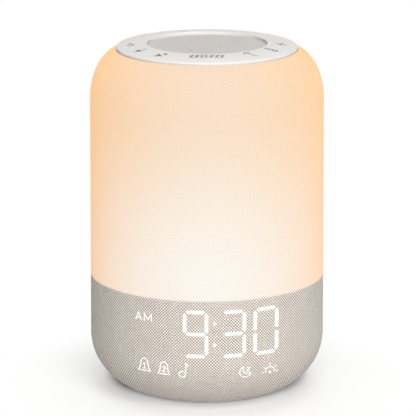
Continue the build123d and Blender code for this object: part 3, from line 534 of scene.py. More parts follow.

# %% [markdown]
# ## The glow
# Above the seam the cloth is also lit from behind.  The lamp sits low in the middle, so the glow
# is nearly white low on the front and turns peach towards the top.  Its amber round the flanks is
# painted shade of the drum's sides.  Height and direction round the drum drive those colours, so
# the glow belongs to the clock and stays put when one walks round it.

# %% Glow
GLOW_LOW_FRONT = (0.775, 0.75, 0.70)
GLOW_HIGH_FRONT = (0.755, 0.555, 0.38)
# the amber round the flanks is painted shade of the drum's sides
GLOW_LOW_FLANK = (0.905, 0.48, 0.19)
GLOW_HIGH_FLANK = (0.94, 0.48, 0.135)
GLOW_RISE = (61.0 * MM, 151.0 * MM)          # where the glow starts and ends to turn peach
FLANK_CURVE = 1.65           # how late the glow turns amber on the way round
GLOW_BEHIND = 0.85           # brightness of the glow at the very back
DIMMING = (0.55, 1.0)        # shares of the way to the back between which it dims
SEAM_BLUR = 0.7 * MM
LIT_THREAD = (0.21, 0.19, 0.175)             # the threads' own brightness where light comes through
OUTSHONE = 0.33              # how much of the threads' pattern the glow leaves
LIT_EVENING = 0.6            # how far that light evens out the two colours
THREAD_LIGHT = (0.88, 0.98)  # share of the glow through brown threads and through cream ones
LIGHT_BLUR = 0.6
FOLD_WIDTH = 0.7 * MM        # half the groove of the sewn seam at the back
FOLD_DEPTH = 0.5 * MM
# painted shade in the groove: the glow's share there, and the threads' darker colour
FOLD_GLOW_SHADE = 0.72
FOLD_SHADE_COLOUR = (0.20, 0.165, 0.135)


def drum_place(finish):
    """Height, and direction round the drum from 0 at the front to 1 at the back."""
    x, y, z = finish.split(finish.place())
    behind = finish.sum("ARCTAN2", finish.sum("ABSOLUTE", x), finish.product(y, -1.0))
    return z, finish.sum("DIVIDE", behind, pi)


def glow_colour(finish):
    """The light through the cloth: its colour, with painted shade round the flanks, where it shows, and
    how it dims towards the back.
    """
    z, round_drum = drum_place(finish)
    rise = finish.step(z, *GLOW_RISE)
    flank = finish.sum("POWER", finish.step(round_drum, 0.0, 0.5, smooth=False), FLANK_CURVE)
    low = finish.mix(flank, GLOW_LOW_FRONT, GLOW_LOW_FLANK)
    high = finish.mix(flank, GLOW_HIGH_FRONT, GLOW_HIGH_FLANK)
    above_seam = finish.step(z, SEAM_HEIGHT - SEAM_BLUR, SEAM_HEIGHT + SEAM_BLUR)
    dimmer = finish.step(round_drum, *DIMMING, 1.0, GLOW_BEHIND)
    return finish.mix(rise, low, high), above_seam, dimmer


def back_fold(finish):
    """0 in the fine groove at the back where the cloth's two edges meet, 1 beside it."""
    _, round_drum = drum_place(finish)
    from_fold = finish.product(finish.sum("SUBTRACT", 1.0, round_drum), pi * BODY_RADIUS)
    return finish.step(from_fold, FOLD_WIDTH / 4, FOLD_WIDTH)


def lit_cloth(name):
    """The cover's weave, dark below the seam and lit from behind above it."""
    finish = Finish(name)
    thread_map, over, crown = weave(finish)
    colour, above_seam, dimmer = glow_colour(finish)
    fold = back_fold(finish)
    threads = cloth_colour(finish, thread_map, over, crown, CREAM, BROWN)
    # painted shade in the groove of the back seam
    threads = finish.mix(fold, FOLD_SHADE_COLOUR, threads)
    outshone = finish.mix(1.0, threads, (OUTSHONE,) * 3, blend="MULTIPLY")
    evened = finish.mix(LIT_EVENING, outshone, LIT_THREAD)
    thread_light = finish.step(over, -LIGHT_BLUR, LIGHT_BLUR, *THREAD_LIGHT)
    # painted shade dims the glow in the groove
    fold_glow_shade = finish.step(fold, 0.0, 1.0, FOLD_GLOW_SHADE, 1.0, smooth=False)
    finish.set(Base_Color=finish.mix(above_seam, threads, evened), Roughness=0.9,
               Sheen_Weight=0.15, Specular_IOR_Level=0.2, Emission_Color=colour,
               Emission_Strength=finish.product(above_seam, dimmer, thread_light, fold_glow_shade))
    finish.bump(finish.sum("MULTIPLY_ADD", fold, FOLD_DEPTH / WEAVE_DEPTH, crown), WEAVE_DEPTH)
    return finish


cloth = lit_cloth("woven_cloth")
cover = new_piece("woven_cover", cover_mesh, cloth)
print("glow from", SEAM_HEIGHT / MM, "mm up")

# %% [markdown]
# The rear panel needs its opening in the cloth.  A block with rounded upright edges is the cutter:
# a Boolean modifier takes it away from the cover, is applied, and the block is thrown away.

# %% Opening for the rear panel
PANEL_GAP = 0.3 * MM
PANEL_CORNER = 5.0 * MM
CORNER_STEPS = 8
CUTTER_MIDDLE = 1.3 * BODY_RADIUS            # so that it reaches through the rear wall alone

panel_low, panel_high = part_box("rear_panel")


def panel_cutter():
    """Block through the rear wall, a little larger than the panel."""
    bm = bmesh.new()
    bmesh.ops.create_cube(bm, size=1.0)
    size = Vector((panel_high.x - panel_low.x + 2 * PANEL_GAP, 2 * BODY_RADIUS,
                   panel_high.z - panel_low.z + 2 * PANEL_GAP))
    bmesh.ops.scale(bm, vec=size, verts=bm.verts)
    middle = Vector((0, CUTTER_MIDDLE, (panel_high.z + panel_low.z) / 2))
    bmesh.ops.translate(bm, vec=middle, verts=bm.verts)
    corners = [e for e in bm.edges if abs(e.verts[0].co.y - e.verts[1].co.y) > BODY_RADIUS]
    bmesh.ops.bevel(bm, geom=corners, offset=PANEL_CORNER + PANEL_GAP, affect="EDGES",
                    segments=CORNER_STEPS, profile=0.5, material=-1)
    return placed("panel_cutter", mesh_from("panel_cutter", bm))


cutter = panel_cutter()
cut = cover.modifiers.new("panel_opening", "BOOLEAN")
cut.operation = "DIFFERENCE"
cut.solver = "EXACT"
cut.object = cutter
baked(cover)
bpy.data.objects.remove(cutter)
weave_map(cover)
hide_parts("fabric_sleeve")
print("opening cut,", len(cover.data.polygons), "faces left in the cover")

# %% [markdown]
# ## The sewn seam at the back
# Cloth is flat, so a drum of it has a seam, and that belongs at the back.  The two edges meet in a
# fine groove, which the cloth's finish already shows with a bump and painted shade, and slanted
# stitches cross it.  Each stitch is a small sphere stretched into a grain of rice, laid along the
# section at even distances.  The stitches stop where the rear panel takes the cloth's place.

# %% Stitches
STITCH_PITCH = 2.6 * MM
STITCH_HALF = Vector((0.85, 0.17, 0.20)) * MM      # along the thread, off the cloth, across
STITCH_SLANT = radians(24)
STITCH_COLOUR = (0.80, 0.72, 0.63)
STRAND_SHADE = 0.7           # of the furrows between the thread's strands
TWIST_SPOTS = (1500.0, 6000.0, 6000.0)


def place_at(length):
    """Radius, height and slope of the section at a distance from the hem."""
    for (r0, z0), (r1, z1), low, high in section_parts:
        if length <= high:
            share = (length - low) / (high - low)
            return r0 + (r1 - r0) * share, z0 + (z1 - z0) * share, atan2(z1 - z0, r1 - r0)


def back_stitches():
    """One row of slanted stitches up the back."""
    bm = bmesh.new()
    for i in range(2, floor(section_lengths[-1] / STITCH_PITCH)):
        radius, height, slope = place_at(i * STITCH_PITCH)
        if panel_low.z - STITCH_PITCH < height < panel_high.z + STITCH_PITCH:
            continue
        lie = Matrix.Translation((0, radius, height)) @ Matrix.Rotation(slope - pi / 2, 4, "X")
        lie = lie @ Matrix.Rotation(STITCH_SLANT, 4, "Y") @ Matrix.Diagonal((*STITCH_HALF, 1))
        bmesh.ops.create_uvsphere(bm, u_segments=12, v_segments=8, radius=1.0, matrix=lie)
    return bm


def stitch_thread():
    """Twisted cream thread that the glow reaches above the seam."""
    finish = Finish("stitch_thread")
    colour, above_seam, dimmer = glow_colour(finish)
    twist = finish.noise(finish.stretched(finish.place(), TWIST_SPOTS), 1.0, 2.0)
    dark_strand = tuple(STRAND_SHADE * v for v in STITCH_COLOUR)
    thread = finish.mix(finish.step(twist, 0.35, 0.65), dark_strand, STITCH_COLOUR)
    outshone = finish.mix(1.0, thread, (OUTSHONE,) * 3, blend="MULTIPLY")
    finish.set(Base_Color=finish.mix(above_seam, thread, outshone), Roughness=0.7,
               Emission_Color=colour, Emission_Strength=finish.product(above_seam, dimmer))
    finish.bump(twist, 0.05 * MM)
    return finish


stitches = new_piece("back_seam_stitches", back_stitches(), stitch_thread())

# %% [markdown]

# %% [markdown]
# ## The loudspeaker's cloth
# A finer grey cloth is glued over the round steel mesh inside the ring.  Its section is a thin
# strip whose top is crowned by a fifth of a millimetre and whose edge rolls down to the mesh.
# Spun round the axis it becomes one closed skin.  The weave lies flat, so its map is just the
# place on the plane, with no turning round the drum.

# %% Grille cloth
GRILLE_CROWN = 0.2 * MM
GRILLE_PITCH = 0.45 * MM
GRILLE_STEPS = 10
GRILLE_TURNS = 128
GRILLE_PALE = (0.70, 0.665, 0.635)
GRILLE_DARK = (0.60, 0.57, 0.545)

grille_low, grille_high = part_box("grille_cloth")


def grille_section():
    """Underside from the middle out, rolled edge, and the crowned top back to the middle."""
    top_edge = grille_high.z - GRILLE_CROWN
    edge_round = (top_edge - grille_low.z) / 2
    flat_radius = grille_high.x - edge_round
    shares = [i / GRILLE_STEPS for i in range(GRILLE_STEPS + 1)]
    under = [(flat_radius * share, grille_low.z) for share in shares]
    top = [(flat_radius * share, grille_high.z - GRILLE_CROWN * share * share) for share in shares[::-1]]
    return under + folded_edge(under[-1], top[0]) + top


def flat_map(piece):
    """Writes the weave's map straight from above."""
    layer = piece.data.uv_layers.new(name="weave")
    for loop in piece.data.loops:
        layer.data[loop.index].uv = piece.data.vertices[loop.vertex_index].co.xy


def speaker_cloth():
    """Fine grey weave, close to one colour."""
    finish = Finish("speaker_cloth")
    thread_map, over, crown = weave(finish, GRILLE_PITCH)
    finish.set(Base_Color=cloth_colour(finish, thread_map, over, crown, GRILLE_PALE, GRILLE_DARK),
               Roughness=0.85, Sheen_Weight=0.1, Specular_IOR_Level=0.2)
    finish.bump(crown, WEAVE_DEPTH / 2)
    return finish


grille = new_piece("speaker_grille_cloth", spun(grille_section(), GRILLE_TURNS, closed=False),
                   speaker_cloth())
flat_map(grille)
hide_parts("grille_cloth")
print("grille cloth", round(2 * grille_high.x / MM, 1), "mm across")

# %% [markdown]
# ## A kit for drawing signs
# The display's bars, its small signs and the printed touch signs are all flat shapes laid on curved
# faces.  Each is drawn in millimetres as outlines: `stroke` gives a line of even width with mitred
# corners, `arc` and `circle` give round parts.  `sign_sheet` fills the outlines and cuts them into
# strips a millimetre wide, so that they can bend.  `stamped` then drops every point onto the face
# that carries the sign, from the side where it is read, and gives the sheet a coat's thickness.

# %% Sign kit
STRIP = 1.0                  # millimetres
INK = 0.05 * MM
INK_LIFT = 0.03 * MM
REACH = 0.3                  # how far off the casting starts, in metres
SIDES = {                    # where a sign's right and its top point, for a reader on that side
    "front": ((1, 0, 0), (0, 0, 1)),
    "top": ((1, 0, 0), (0, 1, 0)),
    "back": ((-1, 0, 0), (0, 0, 1)),
    "base": ((-1, 0, 0), (0, 1, 0)),
}


def arc(x, y, radius, start, end, steps=10):
    """Points of a circle's arc, with angles in degrees from the right, turning left."""
    turns = [radians(start + (end - start) * i / steps) for i in range(steps + 1)]
    return [(x + radius * cos(turn), y + radius * sin(turn)) for turn in turns]


def circle(x, y, radius, steps=16):
    """Points of a whole circle."""
    return arc(x, y, radius, 0, 360, steps)[:-1]


def stroke(points, width, closed=False):
    """A line of even width as one outline, or as two where it closes."""
    left, right = [], []
    last = len(points) - 1
    for i, point in enumerate(points):
        here = Vector(point)
        ways = []
        if closed or i > 0:
            ways.append((here - Vector(points[i - 1])).normalized())
        if closed or i < last:
            ways.append((Vector(points[(i + 1) % len(points)]) - here).normalized())
        along = (ways[0] + ways[-1]).normalized()
        across = Vector((-along.y, along.x)) * width / 2 / max(0.5, along.dot(ways[0]))
        left.append(tuple(here + across))
        right.append(tuple(here - across))
    return [left, right] if closed else [left + right[::-1]]


def cross(x, y, across, up, line):
    """A plus round a middle as one outline, across and up being half its width and height."""
    corner = [(across, line / 2), (line / 2, line / 2), (line / 2, up)]
    left = [(-a, b) for a, b in corner[::-1]]
    lower = [(-a, -b) for a, b in corner + left]
    return [[[(x + a, y + b) for a, b in corner + left + lower]]]


def moved(shapes, x, y, turn=0.0, scale=1.0):
    """The shapes scaled, turned by some degrees and shifted."""
    cos_turn, sin_turn = scale * cos(radians(turn)), scale * sin(radians(turn))
    return [[[(x + a * cos_turn - b * sin_turn, y + a * sin_turn + b * cos_turn) for a, b in outline]
             for outline in shape] for shape in shapes]


def sign_sheet(shapes):
    """A flat bmesh of the filled shapes, cut into strips."""
    bm = bmesh.new()
    for shape in shapes:
        edges = []
        for outline in shape:
            verts = [bm.verts.new((x, y, 0)) for x, y in outline]
            edges += [bm.edges.new(pair) for pair in zip(verts, verts[1:] + verts[:1])]
        bmesh.ops.triangle_fill(bm, use_beauty=True, edges=edges, normal=(0, 0, 1))
    for axis in (Vector((1, 0, 0)), Vector((0, 1, 0))):
        spots = [v.co.dot(axis) for v in bm.verts]
        for step in range(ceil(min(spots) / STRIP), floor(max(spots) / STRIP) + 1):
            bmesh.ops.bisect_plane(bm, geom=bm.verts[:] + bm.edges[:] + bm.faces[:],
                                   plane_co=axis * step * STRIP, plane_no=axis, dist=0.01)
    bmesh.ops.scale(bm, vec=(MM, MM, MM), verts=bm.verts)
    return bm


def face_of(piece):
    """The piece's surface, for casting points onto it."""
    data = piece.data
    return BVHTree.FromPolygons([v.co for v in data.vertices], [tuple(f.vertices) for f in data.polygons])


def stamped(shapes, face, side):
    """The shapes laid on a face: each point starts well off that side and goes in until it lands."""
    right, top = (Vector(way) for way in SIDES[side])
    inwards = top.cross(right)
    bm = sign_sheet(shapes)
    for vert in bm.verts:
        landed = face.ray_cast(right * vert.co.x + top * vert.co.y - inwards * REACH, inwards)[0]
        vert.co = landed - inwards * INK_LIFT
    bm.normal_update()
    bmesh.ops.solidify(bm, geom=bm.faces[:], thickness=INK)
    bmesh.ops.recalc_face_normals(bm, faces=bm.faces)
    return bm


print("sign kit ready")

# %% [markdown]
# ## Signs
# The small pictures are the common ones of any alarm clock: a bell with its number, a note, a moon
# with a z, and a rising sun.  Each function returns shapes about 7 mm across, with their middle at
# zero, so that the same bell serves in the display and on its key.

# %% Small signs
LINE = 0.55                  # width of the signs' lines, in millimetres
CROWN_LOW, CROWN_STRETCH = 1.15, 1.4         # the bell's crown is a stretched arc


def numeral(number):
    """A small 1 or 2."""
    if number == 1:
        foot = [(-0.15, -1.35), (-0.6, -1.35), (-0.6, -1.85), (0.8, -1.85), (0.8, -1.35), (0.35, -1.35)]
        return [[foot + [(0.35, 1.45), (-0.05, 1.45), (-0.8, 0.75), (-0.5, 0.35), (-0.15, 0.65)]]]
    bow = arc(0.0, 0.45, 0.65, 165, -35, 8)
    return [stroke(bow + [(-0.65, -1.55), (0.8, -1.55)], 0.5)]


def bell(number):
    """An outlined bell with a wide brim and its number inside."""
    crown = [(x, CROWN_LOW + CROWN_STRETCH * y) for x, y in arc(0.0, 0.0, 1.6, 165, 15)]
    left = [(-2.8, -2.75), (-2.1, -1.6), (-1.75, 0.0)]
    right = [(-x, y) for x, y in left[::-1]]
    return [stroke(left + crown + right, LINE, closed=True)] + numeral(number)


def note():
    """A note with an open head and one flag."""
    head = circle(-0.3, -1.4, 1.5, 20)
    return [stroke(head, LINE, closed=True), stroke([(1.3, -1.4), (1.3, 4.0), (2.3, 2.7)], LINE)]


def letter_z(x, y, width, height, line):
    """The letter z round a middle."""
    a, b = width / 2, height / 2
    return [stroke([(x - a, y + b), (x + a, y + b), (x - a, y - b), (x + a, y - b)], line)]


def moon():
    """A crescent open to the upper right, with a z in it."""
    outer = stroke(arc(0, 0, 2.7, 100, 350, 24), 0.5)
    inner = stroke(arc(1.15, 1.15, 2.2, -50, -220, 14), 0.5)
    return [outer, inner] + letter_z(1.35, 1.2, 1.5, 1.7, 0.45)


def rays(x, y, inner, outer, angles, line):
    """Short lines that point away from a middle."""
    return [stroke([arc(x, y, r, angle, angle, 1)[0] for r in (inner, outer)], line) for angle in angles]


def rising_sun():
    """Half a sun with rays over an arrow that points up."""
    half = stroke(arc(0, -0.7, 2.05, -20, 200, 16), LINE)
    arrow = [[(-1.0, -1.5), (0, -0.5), (1.0, -1.5), (0.4, -1.5), (0.4, -2.5), (-0.4, -2.5), (-0.4, -1.5)]]
    return [half, arrow] + rays(0, -0.7, 2.8, 3.7, (-10, 36, 90, 144, 190), LINE + 0.1)


def morning_letters():
    """A and M, for the hours before noon."""
    a_legs = stroke([(-3.6, -1.7), (-2.35, 1.7), (-1.1, -1.7)], 0.6)
    a_bar = stroke([(-3.1, -0.65), (-1.6, -0.65)], 0.5)
    m_legs = stroke([(0.2, -1.7), (0.2, 1.6), (1.75, -1.1), (3.3, 1.6), (3.3, -1.7)], 0.6)
    return [a_legs, a_bar, m_legs]


print("bell of", len(bell(1)), "shapes, sun of", len(rising_sun()))

# %% [markdown]
# ## The lit time
# Behind the cloth each bar of the display has its own light guide.  The light makes a patch on the
# cloth, as bright as the threads let it be.  Here a patch is a very thin film on the cloth, with
# the cloth's own map, so the threads still show in it.  The time is half past nine in the morning,
# both alarms, the sound, the sleep timer and the sunrise are on, and the other bars stay dark.

# %% Lit bars and signs
DIGIT_WIDTH, DIGIT_LOW = 12.0, 29.3          # millimetres, as all of the display's sizes
DIGIT_PITCH, COLON_SPACE = 15.0, 2.4
BAR_WIDTH, BAR_GAP, BAR_POINT = 2.0, 0.35, 0.8
PATCH_MARGIN = 0.15          # the bright patch inside each bar's edge
PATCH_COVER = 0.75           # how far the light hides the threads' own colour
PATCH_LIGHT = (0.84, 1.0)    # its strength on brown threads and on cream ones
COLON_SIZE, COLON_OFFSET, COLON_LEAD = 1.75, 5.1, 2.65
SIGN_WHITE = (1, 1, 0.99)
TIME_SHOWN = "930"
LIT_BARS = {                 # top, upper right, lower right, bottom, lower left, upper left, middle
    "9": "1111011",
    "3": "1111001",
    "0": "1111110",
}

window_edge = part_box("display_window")[1].x / MM
guides_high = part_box("segment_guides")[1]
digit_top = guides_high.z / MM
digit_middle = (DIGIT_LOW + digit_top) / 2
last_left = guides_high.x / MM - DIGIT_WIDTH
digit_lefts = [last_left - 2 * DIGIT_PITCH - COLON_SPACE, last_left - DIGIT_PITCH, last_left]


def bar(x, z, length, upright):
    """One bar with slanted ends."""
    half, nib = length / 2 - PATCH_MARGIN, BAR_WIDTH / 2 - PATCH_MARGIN
    upper = [(-half, 0.0), (-half + BAR_POINT, nib), (half - BAR_POINT, nib)]
    outline = upper + [(-a, -b) for a, b in upper]
    return [[(x - b, z + a) if upright else (x + a, z + b) for a, b in outline]]


def digit(left, lit):
    """The lit bars of one digit."""
    across = DIGIT_WIDTH - BAR_WIDTH - 2 * BAR_GAP
    rise = (digit_top - DIGIT_LOW - BAR_WIDTH) / 2
    along = rise - 2 * BAR_GAP
    middle_x, right_x = left + DIGIT_WIDTH / 2, left + DIGIT_WIDTH - BAR_WIDTH / 2
    left_x = left + BAR_WIDTH / 2
    bars = [
        bar(middle_x, digit_middle + rise, across, False),
        bar(right_x, digit_middle + rise / 2, along, True),
        bar(right_x, digit_middle - rise / 2, along, True),
        bar(middle_x, digit_middle - rise, across, False),
        bar(left_x, digit_middle - rise / 2, along, True),
        bar(left_x, digit_middle + rise / 2, along, True),
        bar(middle_x, digit_middle, across, False),
    ]
    return [shape for shape, on in zip(bars, lit) if on == "1"]


def lit_finish():
    """White light that comes through the threads."""
    finish = Finish("lit_through_cloth")
    thread_map, over, crown = weave(finish)
    threads = cloth_colour(finish, thread_map, over, crown, CREAM, BROWN)
    finish.set(Base_Color=finish.mix(PATCH_COVER, threads, (0, 0, 0)), Roughness=0.9,
               Specular_IOR_Level=0.1, Emission_Color=SIGN_WHITE,
               Emission_Strength=finish.step(over, -LIGHT_BLUR, LIGHT_BLUR, *PATCH_LIGHT))
    finish.bump(crown, WEAVE_DEPTH)
    return finish


def shown_time():
    """All the lit bars of the time."""
    return [bar for left, number in zip(digit_lefts, TIME_SHOWN) for bar in digit(left, LIT_BARS[number])]


def colon():
    """Two round dots between the hour and the minutes."""
    x = digit_lefts[1] - COLON_LEAD
    return [[circle(x, digit_middle + side * COLON_OFFSET, COLON_SIZE / 2, 12)] for side in (-1, 1)]


lit_through_cloth = lit_finish()
cover_face = face_of(cover)
LIT_SIGNS = {                # small signs keep their distance from the window's left or right edge
    "lit_time": shown_time(),
    "lit_colon": colon(),
    "lit_morning": moved(morning_letters(), 7.8 - window_edge, 46.95, scale=1.06),
    "lit_first_alarm": moved(bell(1), 7.9 - window_edge, 23.7),
    "lit_second_alarm": moved(bell(2), 17.0 - window_edge, 23.2),
    "lit_sound": moved(note(), 25.8 - window_edge, 22.6),
    "lit_sleep": moved(moon(), window_edge - 19.1, 21.8),
    "lit_sunrise": moved(rising_sun(), window_edge - 7.7, 21.4),
}
for name, shapes in LIT_SIGNS.items():
    patch = new_piece(name, stamped(shapes, cover_face, "front"), lit_through_cloth)
    weave_map(patch)

# %% [markdown]
# ## The touch signs on the ring
# The ring has no keys: a finger's touch is felt through the plastic, and dark grey print shows
# where.  From the left come the sound, quieter, louder, snooze in the middle, then the light's
# colour and brightness.  Each sign faces outwards, towards whoever stands before the clock, and is
# stamped onto the ring's dome from straight above.

# %% Touch signs
PRINT_GREY = (0.055, 0.052, 0.05)
THIN_SPOTS, THIN_SHADE = 4000.0, 1.5         # spots of thin ink to a metre, and how pale they are


def printed(name, colour):
    """Pad-printed ink, a little thinner in places."""
    finish = Finish(name)
    spots = finish.noise(finish.place(), THIN_SPOTS, 2.0)
    thin = tuple(THIN_SHADE * v for v in colour)
    finish.set(Base_Color=finish.mix(finish.step(spots, 0.45, 0.75), colour, thin), Roughness=0.55)
    finish.bump(spots, 0.01 * MM)
    return finish


def speaker_sign(louder):
    """A small loudspeaker with a minus or a plus after it."""
    magnet = [[(-3.2, -0.8), (-2.3, -0.8), (-2.3, 0.8), (-3.2, 0.8)]]
    cone = [[(-2.05, -0.8), (-0.4, -2.3), (-0.4, 2.3), (-2.05, 0.8)]]
    minus = [stroke([(0.8, 0.0), (3.0, 0.0)], 0.8)]
    return [magnet, cone] + (cross(1.9, 0.0, 1.1, 1.4, 0.8) if louder else minus)


def snooze_sign():
    """A sun between small sleeping letters."""
    sun = [stroke(circle(-1.4, 0, 1.25, 18), 0.65, closed=True)]
    sun += rays(-1.4, 0, 1.95, 2.9, range(0, 360, 60), 0.6)
    letters = []
    for x in (-7.0, -4.6, 2.3, 4.6, 6.9):
        letters += letter_z(x, 0, 1.6, 3.1, 0.65)
    return sun + letters


def colour_sign():
    """A lamp and three dots of colour."""
    lamp = [stroke(arc(-2.2, 0.3, 1.1, -60, 240, 14), 0.6), stroke([(-2.9, -1.3), (-1.5, -1.3)], 0.6)]
    return lamp + [[circle(x, 0, 0.55)] for x in (0.4, 1.9, 3.4)]


def dimmer_sign():
    """Three rings, from small to large."""
    return [stroke(circle(x, 0, r), 0.6, closed=True) for x, r in ((-2.6, 0.7), (-0.3, 0.9), (2.3, 1.1))]


def light_sign():
    """A lamp between short rays."""
    lamp = [[circle(0, 0, 1.15)], stroke([(-0.6, -1.7), (0.6, -1.7)], 0.55)]
    return lamp + rays(0, 0, 1.9, 3.0, (-20, 20, 90, 160, 200), 0.6)


TOUCH_SIGNS = {              # shapes, degrees round from the front to the right, radius, turn, scale
    "touch_sound": (note(), -84, 36.0, 30, 0.9),
    "touch_quieter": (speaker_sign(False), -60, 34.9, 32, 1.0),
    "touch_louder": (speaker_sign(True), -36, 35.3, 20, 1.0),
    "touch_snooze": (snooze_sign(), 0, 33.0, 0, 1.0),
    "touch_colour": (colour_sign(), 35.5, 33.9, -38, 1.0),
    "touch_dimmer": (dimmer_sign(), 60.5, 33.9, -36, 1.0),
    "touch_light": (light_sign(), 85, 34.5, -25, 0.9),
}


dark_print = printed("dark_print", PRINT_GREY)
ring_face = face_of(frame["nodes"]["control_ring"])
for name, (shapes, azimuth, radius, turn, scale) in TOUCH_SIGNS.items():
    spot = (radius * sin(radians(azimuth)), -radius * cos(radians(azimuth)))
    sheet = stamped(moved(shapes, *spot, turn, scale), ring_face, "top")
    new_piece(name, sheet, dark_print)

# %% [markdown]
# ## Signs at the back and underneath
# The five keys on the back carry small prints: a bell for each alarm, a clock, minus and plus, and
# the power inlet has the common sign for direct current beside it.  Underneath, an arrow on the
# battery door points to a closed or an open padlock.  A reader behind the clock, or one who looks
# up at it, has -X on their right, as `SIDES` says.

# %% Signs for the back
KEY_SIGN_SCALE = 0.62


def clock_sign():
    """A clock face with two hands."""
    hands = stroke([(0, 1.9), (0, 0), (1.4, 0)], LINE)
    return [stroke(circle(0, 0, 3.0, 28), LINE, closed=True), hands]


def plus_sign(upright):
    """A minus, or with its upright a plus."""
    return cross(0, 0, 2.6, 2.6, 0.9) if upright else [stroke([(-2.6, 0), (2.6, 0)], 0.9)]


def direct_current():
    """A long dash over three short ones."""
    dashes = [stroke([(x - 0.45, -0.5), (x + 0.45, -0.5)], 0.4) for x in (-1.5, 0.0, 1.5)]
    return [stroke([(-1.95, 0.5), (1.95, 0.5)], 0.4)] + dashes


def padlock(shut):
    """A padlock whose bow stands open or is shut."""
    lift = 0.0 if shut else 0.8
    bow = arc(0, 0.9 + lift, 0.9, 180, 0, 8)
    legs = [(-0.9, 0.4)] + bow + ([(0.9, 0.4)] if shut else [])
    return [[[(-1.5, -1.7), (1.5, -1.7), (1.5, 0.35), (-1.5, 0.35)]], stroke(legs, 0.45)]


def arrow_head():
    """A small triangle that points away from the door's middle."""
    return [[[(-0.9, 0.7), (0.0, -0.8), (0.9, 0.7)]]]


print("signs for the back ready")

# %% [markdown]
# The keys' signs take their places from the keys' own boxes, so they follow when a size changes.
# Each sign rides on the body that carries it, so it moves with its key or with the door.

# %% Signs onto the keys, the panel and the base
KEY_SIGNS = {
    "alarm_one_key": bell(1),
    "clock_key": clock_sign(),
    "alarm_two_key": bell(2),
    "minus_key": plus_sign(False),
    "plus_key": plus_sign(True),
}
CURRENT_BESIDE = 10.0        # millimetres from the inlet's middle
ARROW_RADIUS = 10.0
PADLOCK_RADIUS = 17.2

for key, shapes in KEY_SIGNS.items():
    key_low, key_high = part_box(key)
    key_x, _, key_z = (key_low + key_high) / 2 / MM
    key_face = face_of(frame["nodes"][key])
    sheet = stamped(moved(shapes, -key_x, key_z, 0, KEY_SIGN_SCALE), key_face, "back")
    new_piece(key.replace("key", "sign"), sheet, dark_print, body=f"{key}_body")

socket_low, socket_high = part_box("power_socket")
socket_z = (socket_low.z + socket_high.z) / 2 / MM
panel_face = face_of(frame["nodes"]["rear_panel"])
current = stamped(moved(direct_current(), CURRENT_BESIDE, socket_z), panel_face, "back")
new_piece("current_sign", current, dark_print)

door_turn = frame["record"]["behaviour"]["joints"][-1]["range_deg"][1]
base_face = face_of(frame["nodes"]["base_plate"])
for name, shut, turn in (("door_shut_sign", True, 0.0), ("door_open_sign", False, door_turn)):
    spot = (-PADLOCK_RADIUS * sin(radians(turn)), -PADLOCK_RADIUS * cos(radians(turn)))
    sheet = stamped(moved(padlock(shut), *spot), base_face, "base")
    new_piece(name, sheet, dark_print)
door_face = face_of(frame["nodes"]["battery_door"])
arrow = stamped(moved(arrow_head(), 0, -ARROW_RADIUS), door_face, "base")
new_piece("door_arrow", arrow, dark_print, body="door")

# %% [markdown]
# ## Finishes for the moulded and metal pieces
# The CAD pieces keep their shapes and only get finishes.  Moulded plastic is never one flat colour:
# it has a slow drift of tone from the melt, and the fine grain that the mould's spark-eroded
# surface leaves.  `moulded` makes all the plastics from a colour, a roughness and a grain depth.

# %% Plastics
# painted shade on the ring's wall where it meets the cloth
JOINT_SHADE_HEIGHTS = (0.2 * MM, 1.2 * MM)         # above the cloth's top edge
JOINT_SHADE_SHARE = 0.4
JOINT_SHADE_GREY = (0.40, 0.385, 0.37)
GRAIN_SPOTS, DRIFT_SPOTS = 3200.0, 60.0      # to a metre, in the mould's grain and the melt's tone
SHEEN_SWING = 0.06


def moulded(name, colour, roughness=0.45, grain_depth=0.02 * MM, spread=0.03, **sockets):
    """Moulded plastic with a spark-eroded grain; sockets sets what else is special about it."""
    finish = Finish(name)
    where = finish.place()
    grain = finish.noise(where, GRAIN_SPOTS, 2.0)
    finish.set(Base_Color=finish.shades(finish.noise(where, DRIFT_SPOTS), colour, spread),
               Roughness=finish.swing(grain, roughness, SHEEN_SWING), **sockets)
    finish.bump(grain, grain_depth)
    return finish


def ring_finish(name, colour):
    """Satin white plastic with painted shade on its wall where it meets the cloth."""
    finish = moulded(name, colour, 0.5, 0.008 * MM, 0.012, Specular_IOR_Level=0.1)
    z = finish.split(finish.place())[2]
    # painted shade just above the cloth's top edge
    joint = finish.step(z, *[cover_top + height for height in JOINT_SHADE_HEIGHTS], JOINT_SHADE_SHARE, 0.0)
    plain = finish.shader.inputs["Base Color"].links[0].from_socket
    finish.set(Base_Color=finish.mix(joint, plain, JOINT_SHADE_GREY))
    return finish


def milky(name):
    """Milky plastic that spreads the light of the diodes."""
    return moulded(name, (0.86, 0.83, 0.77), 0.5, Subsurface_Weight=0.25,
                   Subsurface_Radius=(4 * MM, 3 * MM, 2 * MM))


def clear(name):
    """Clear plastic, a little smoked."""
    return moulded(name, (0.75, 0.76, 0.76), 0.12, 0.002 * MM, 0.01, Transmission_Weight=0.85, IOR=1.49)


def glowing(name, colour, light):
    """A diode or a light guide that is switched on."""
    return moulded(name, colour, 0.25, 0.005 * MM, 0.02, Emission_Color=light, Emission_Strength=0.6)


def rubber(name):
    """Dull black rubber with a coarse skin."""
    return moulded(name, (0.035, 0.034, 0.033), 0.8, 0.04 * MM, 0.15, Specular_IOR_Level=0.3)


print("plastics ready")

# %% [markdown]
# Metals need something to streak or pit them.  A turned or drawn steel shows fine lines along one
# direction, so its noise is stretched a hundredfold; powder coat has small round bumps; ferrite is
# a dull black stone with pale pores.  The boards get a woven glass ground under the mask, with
# tracks as the edges of large cells, which looks like routed copper at this size.

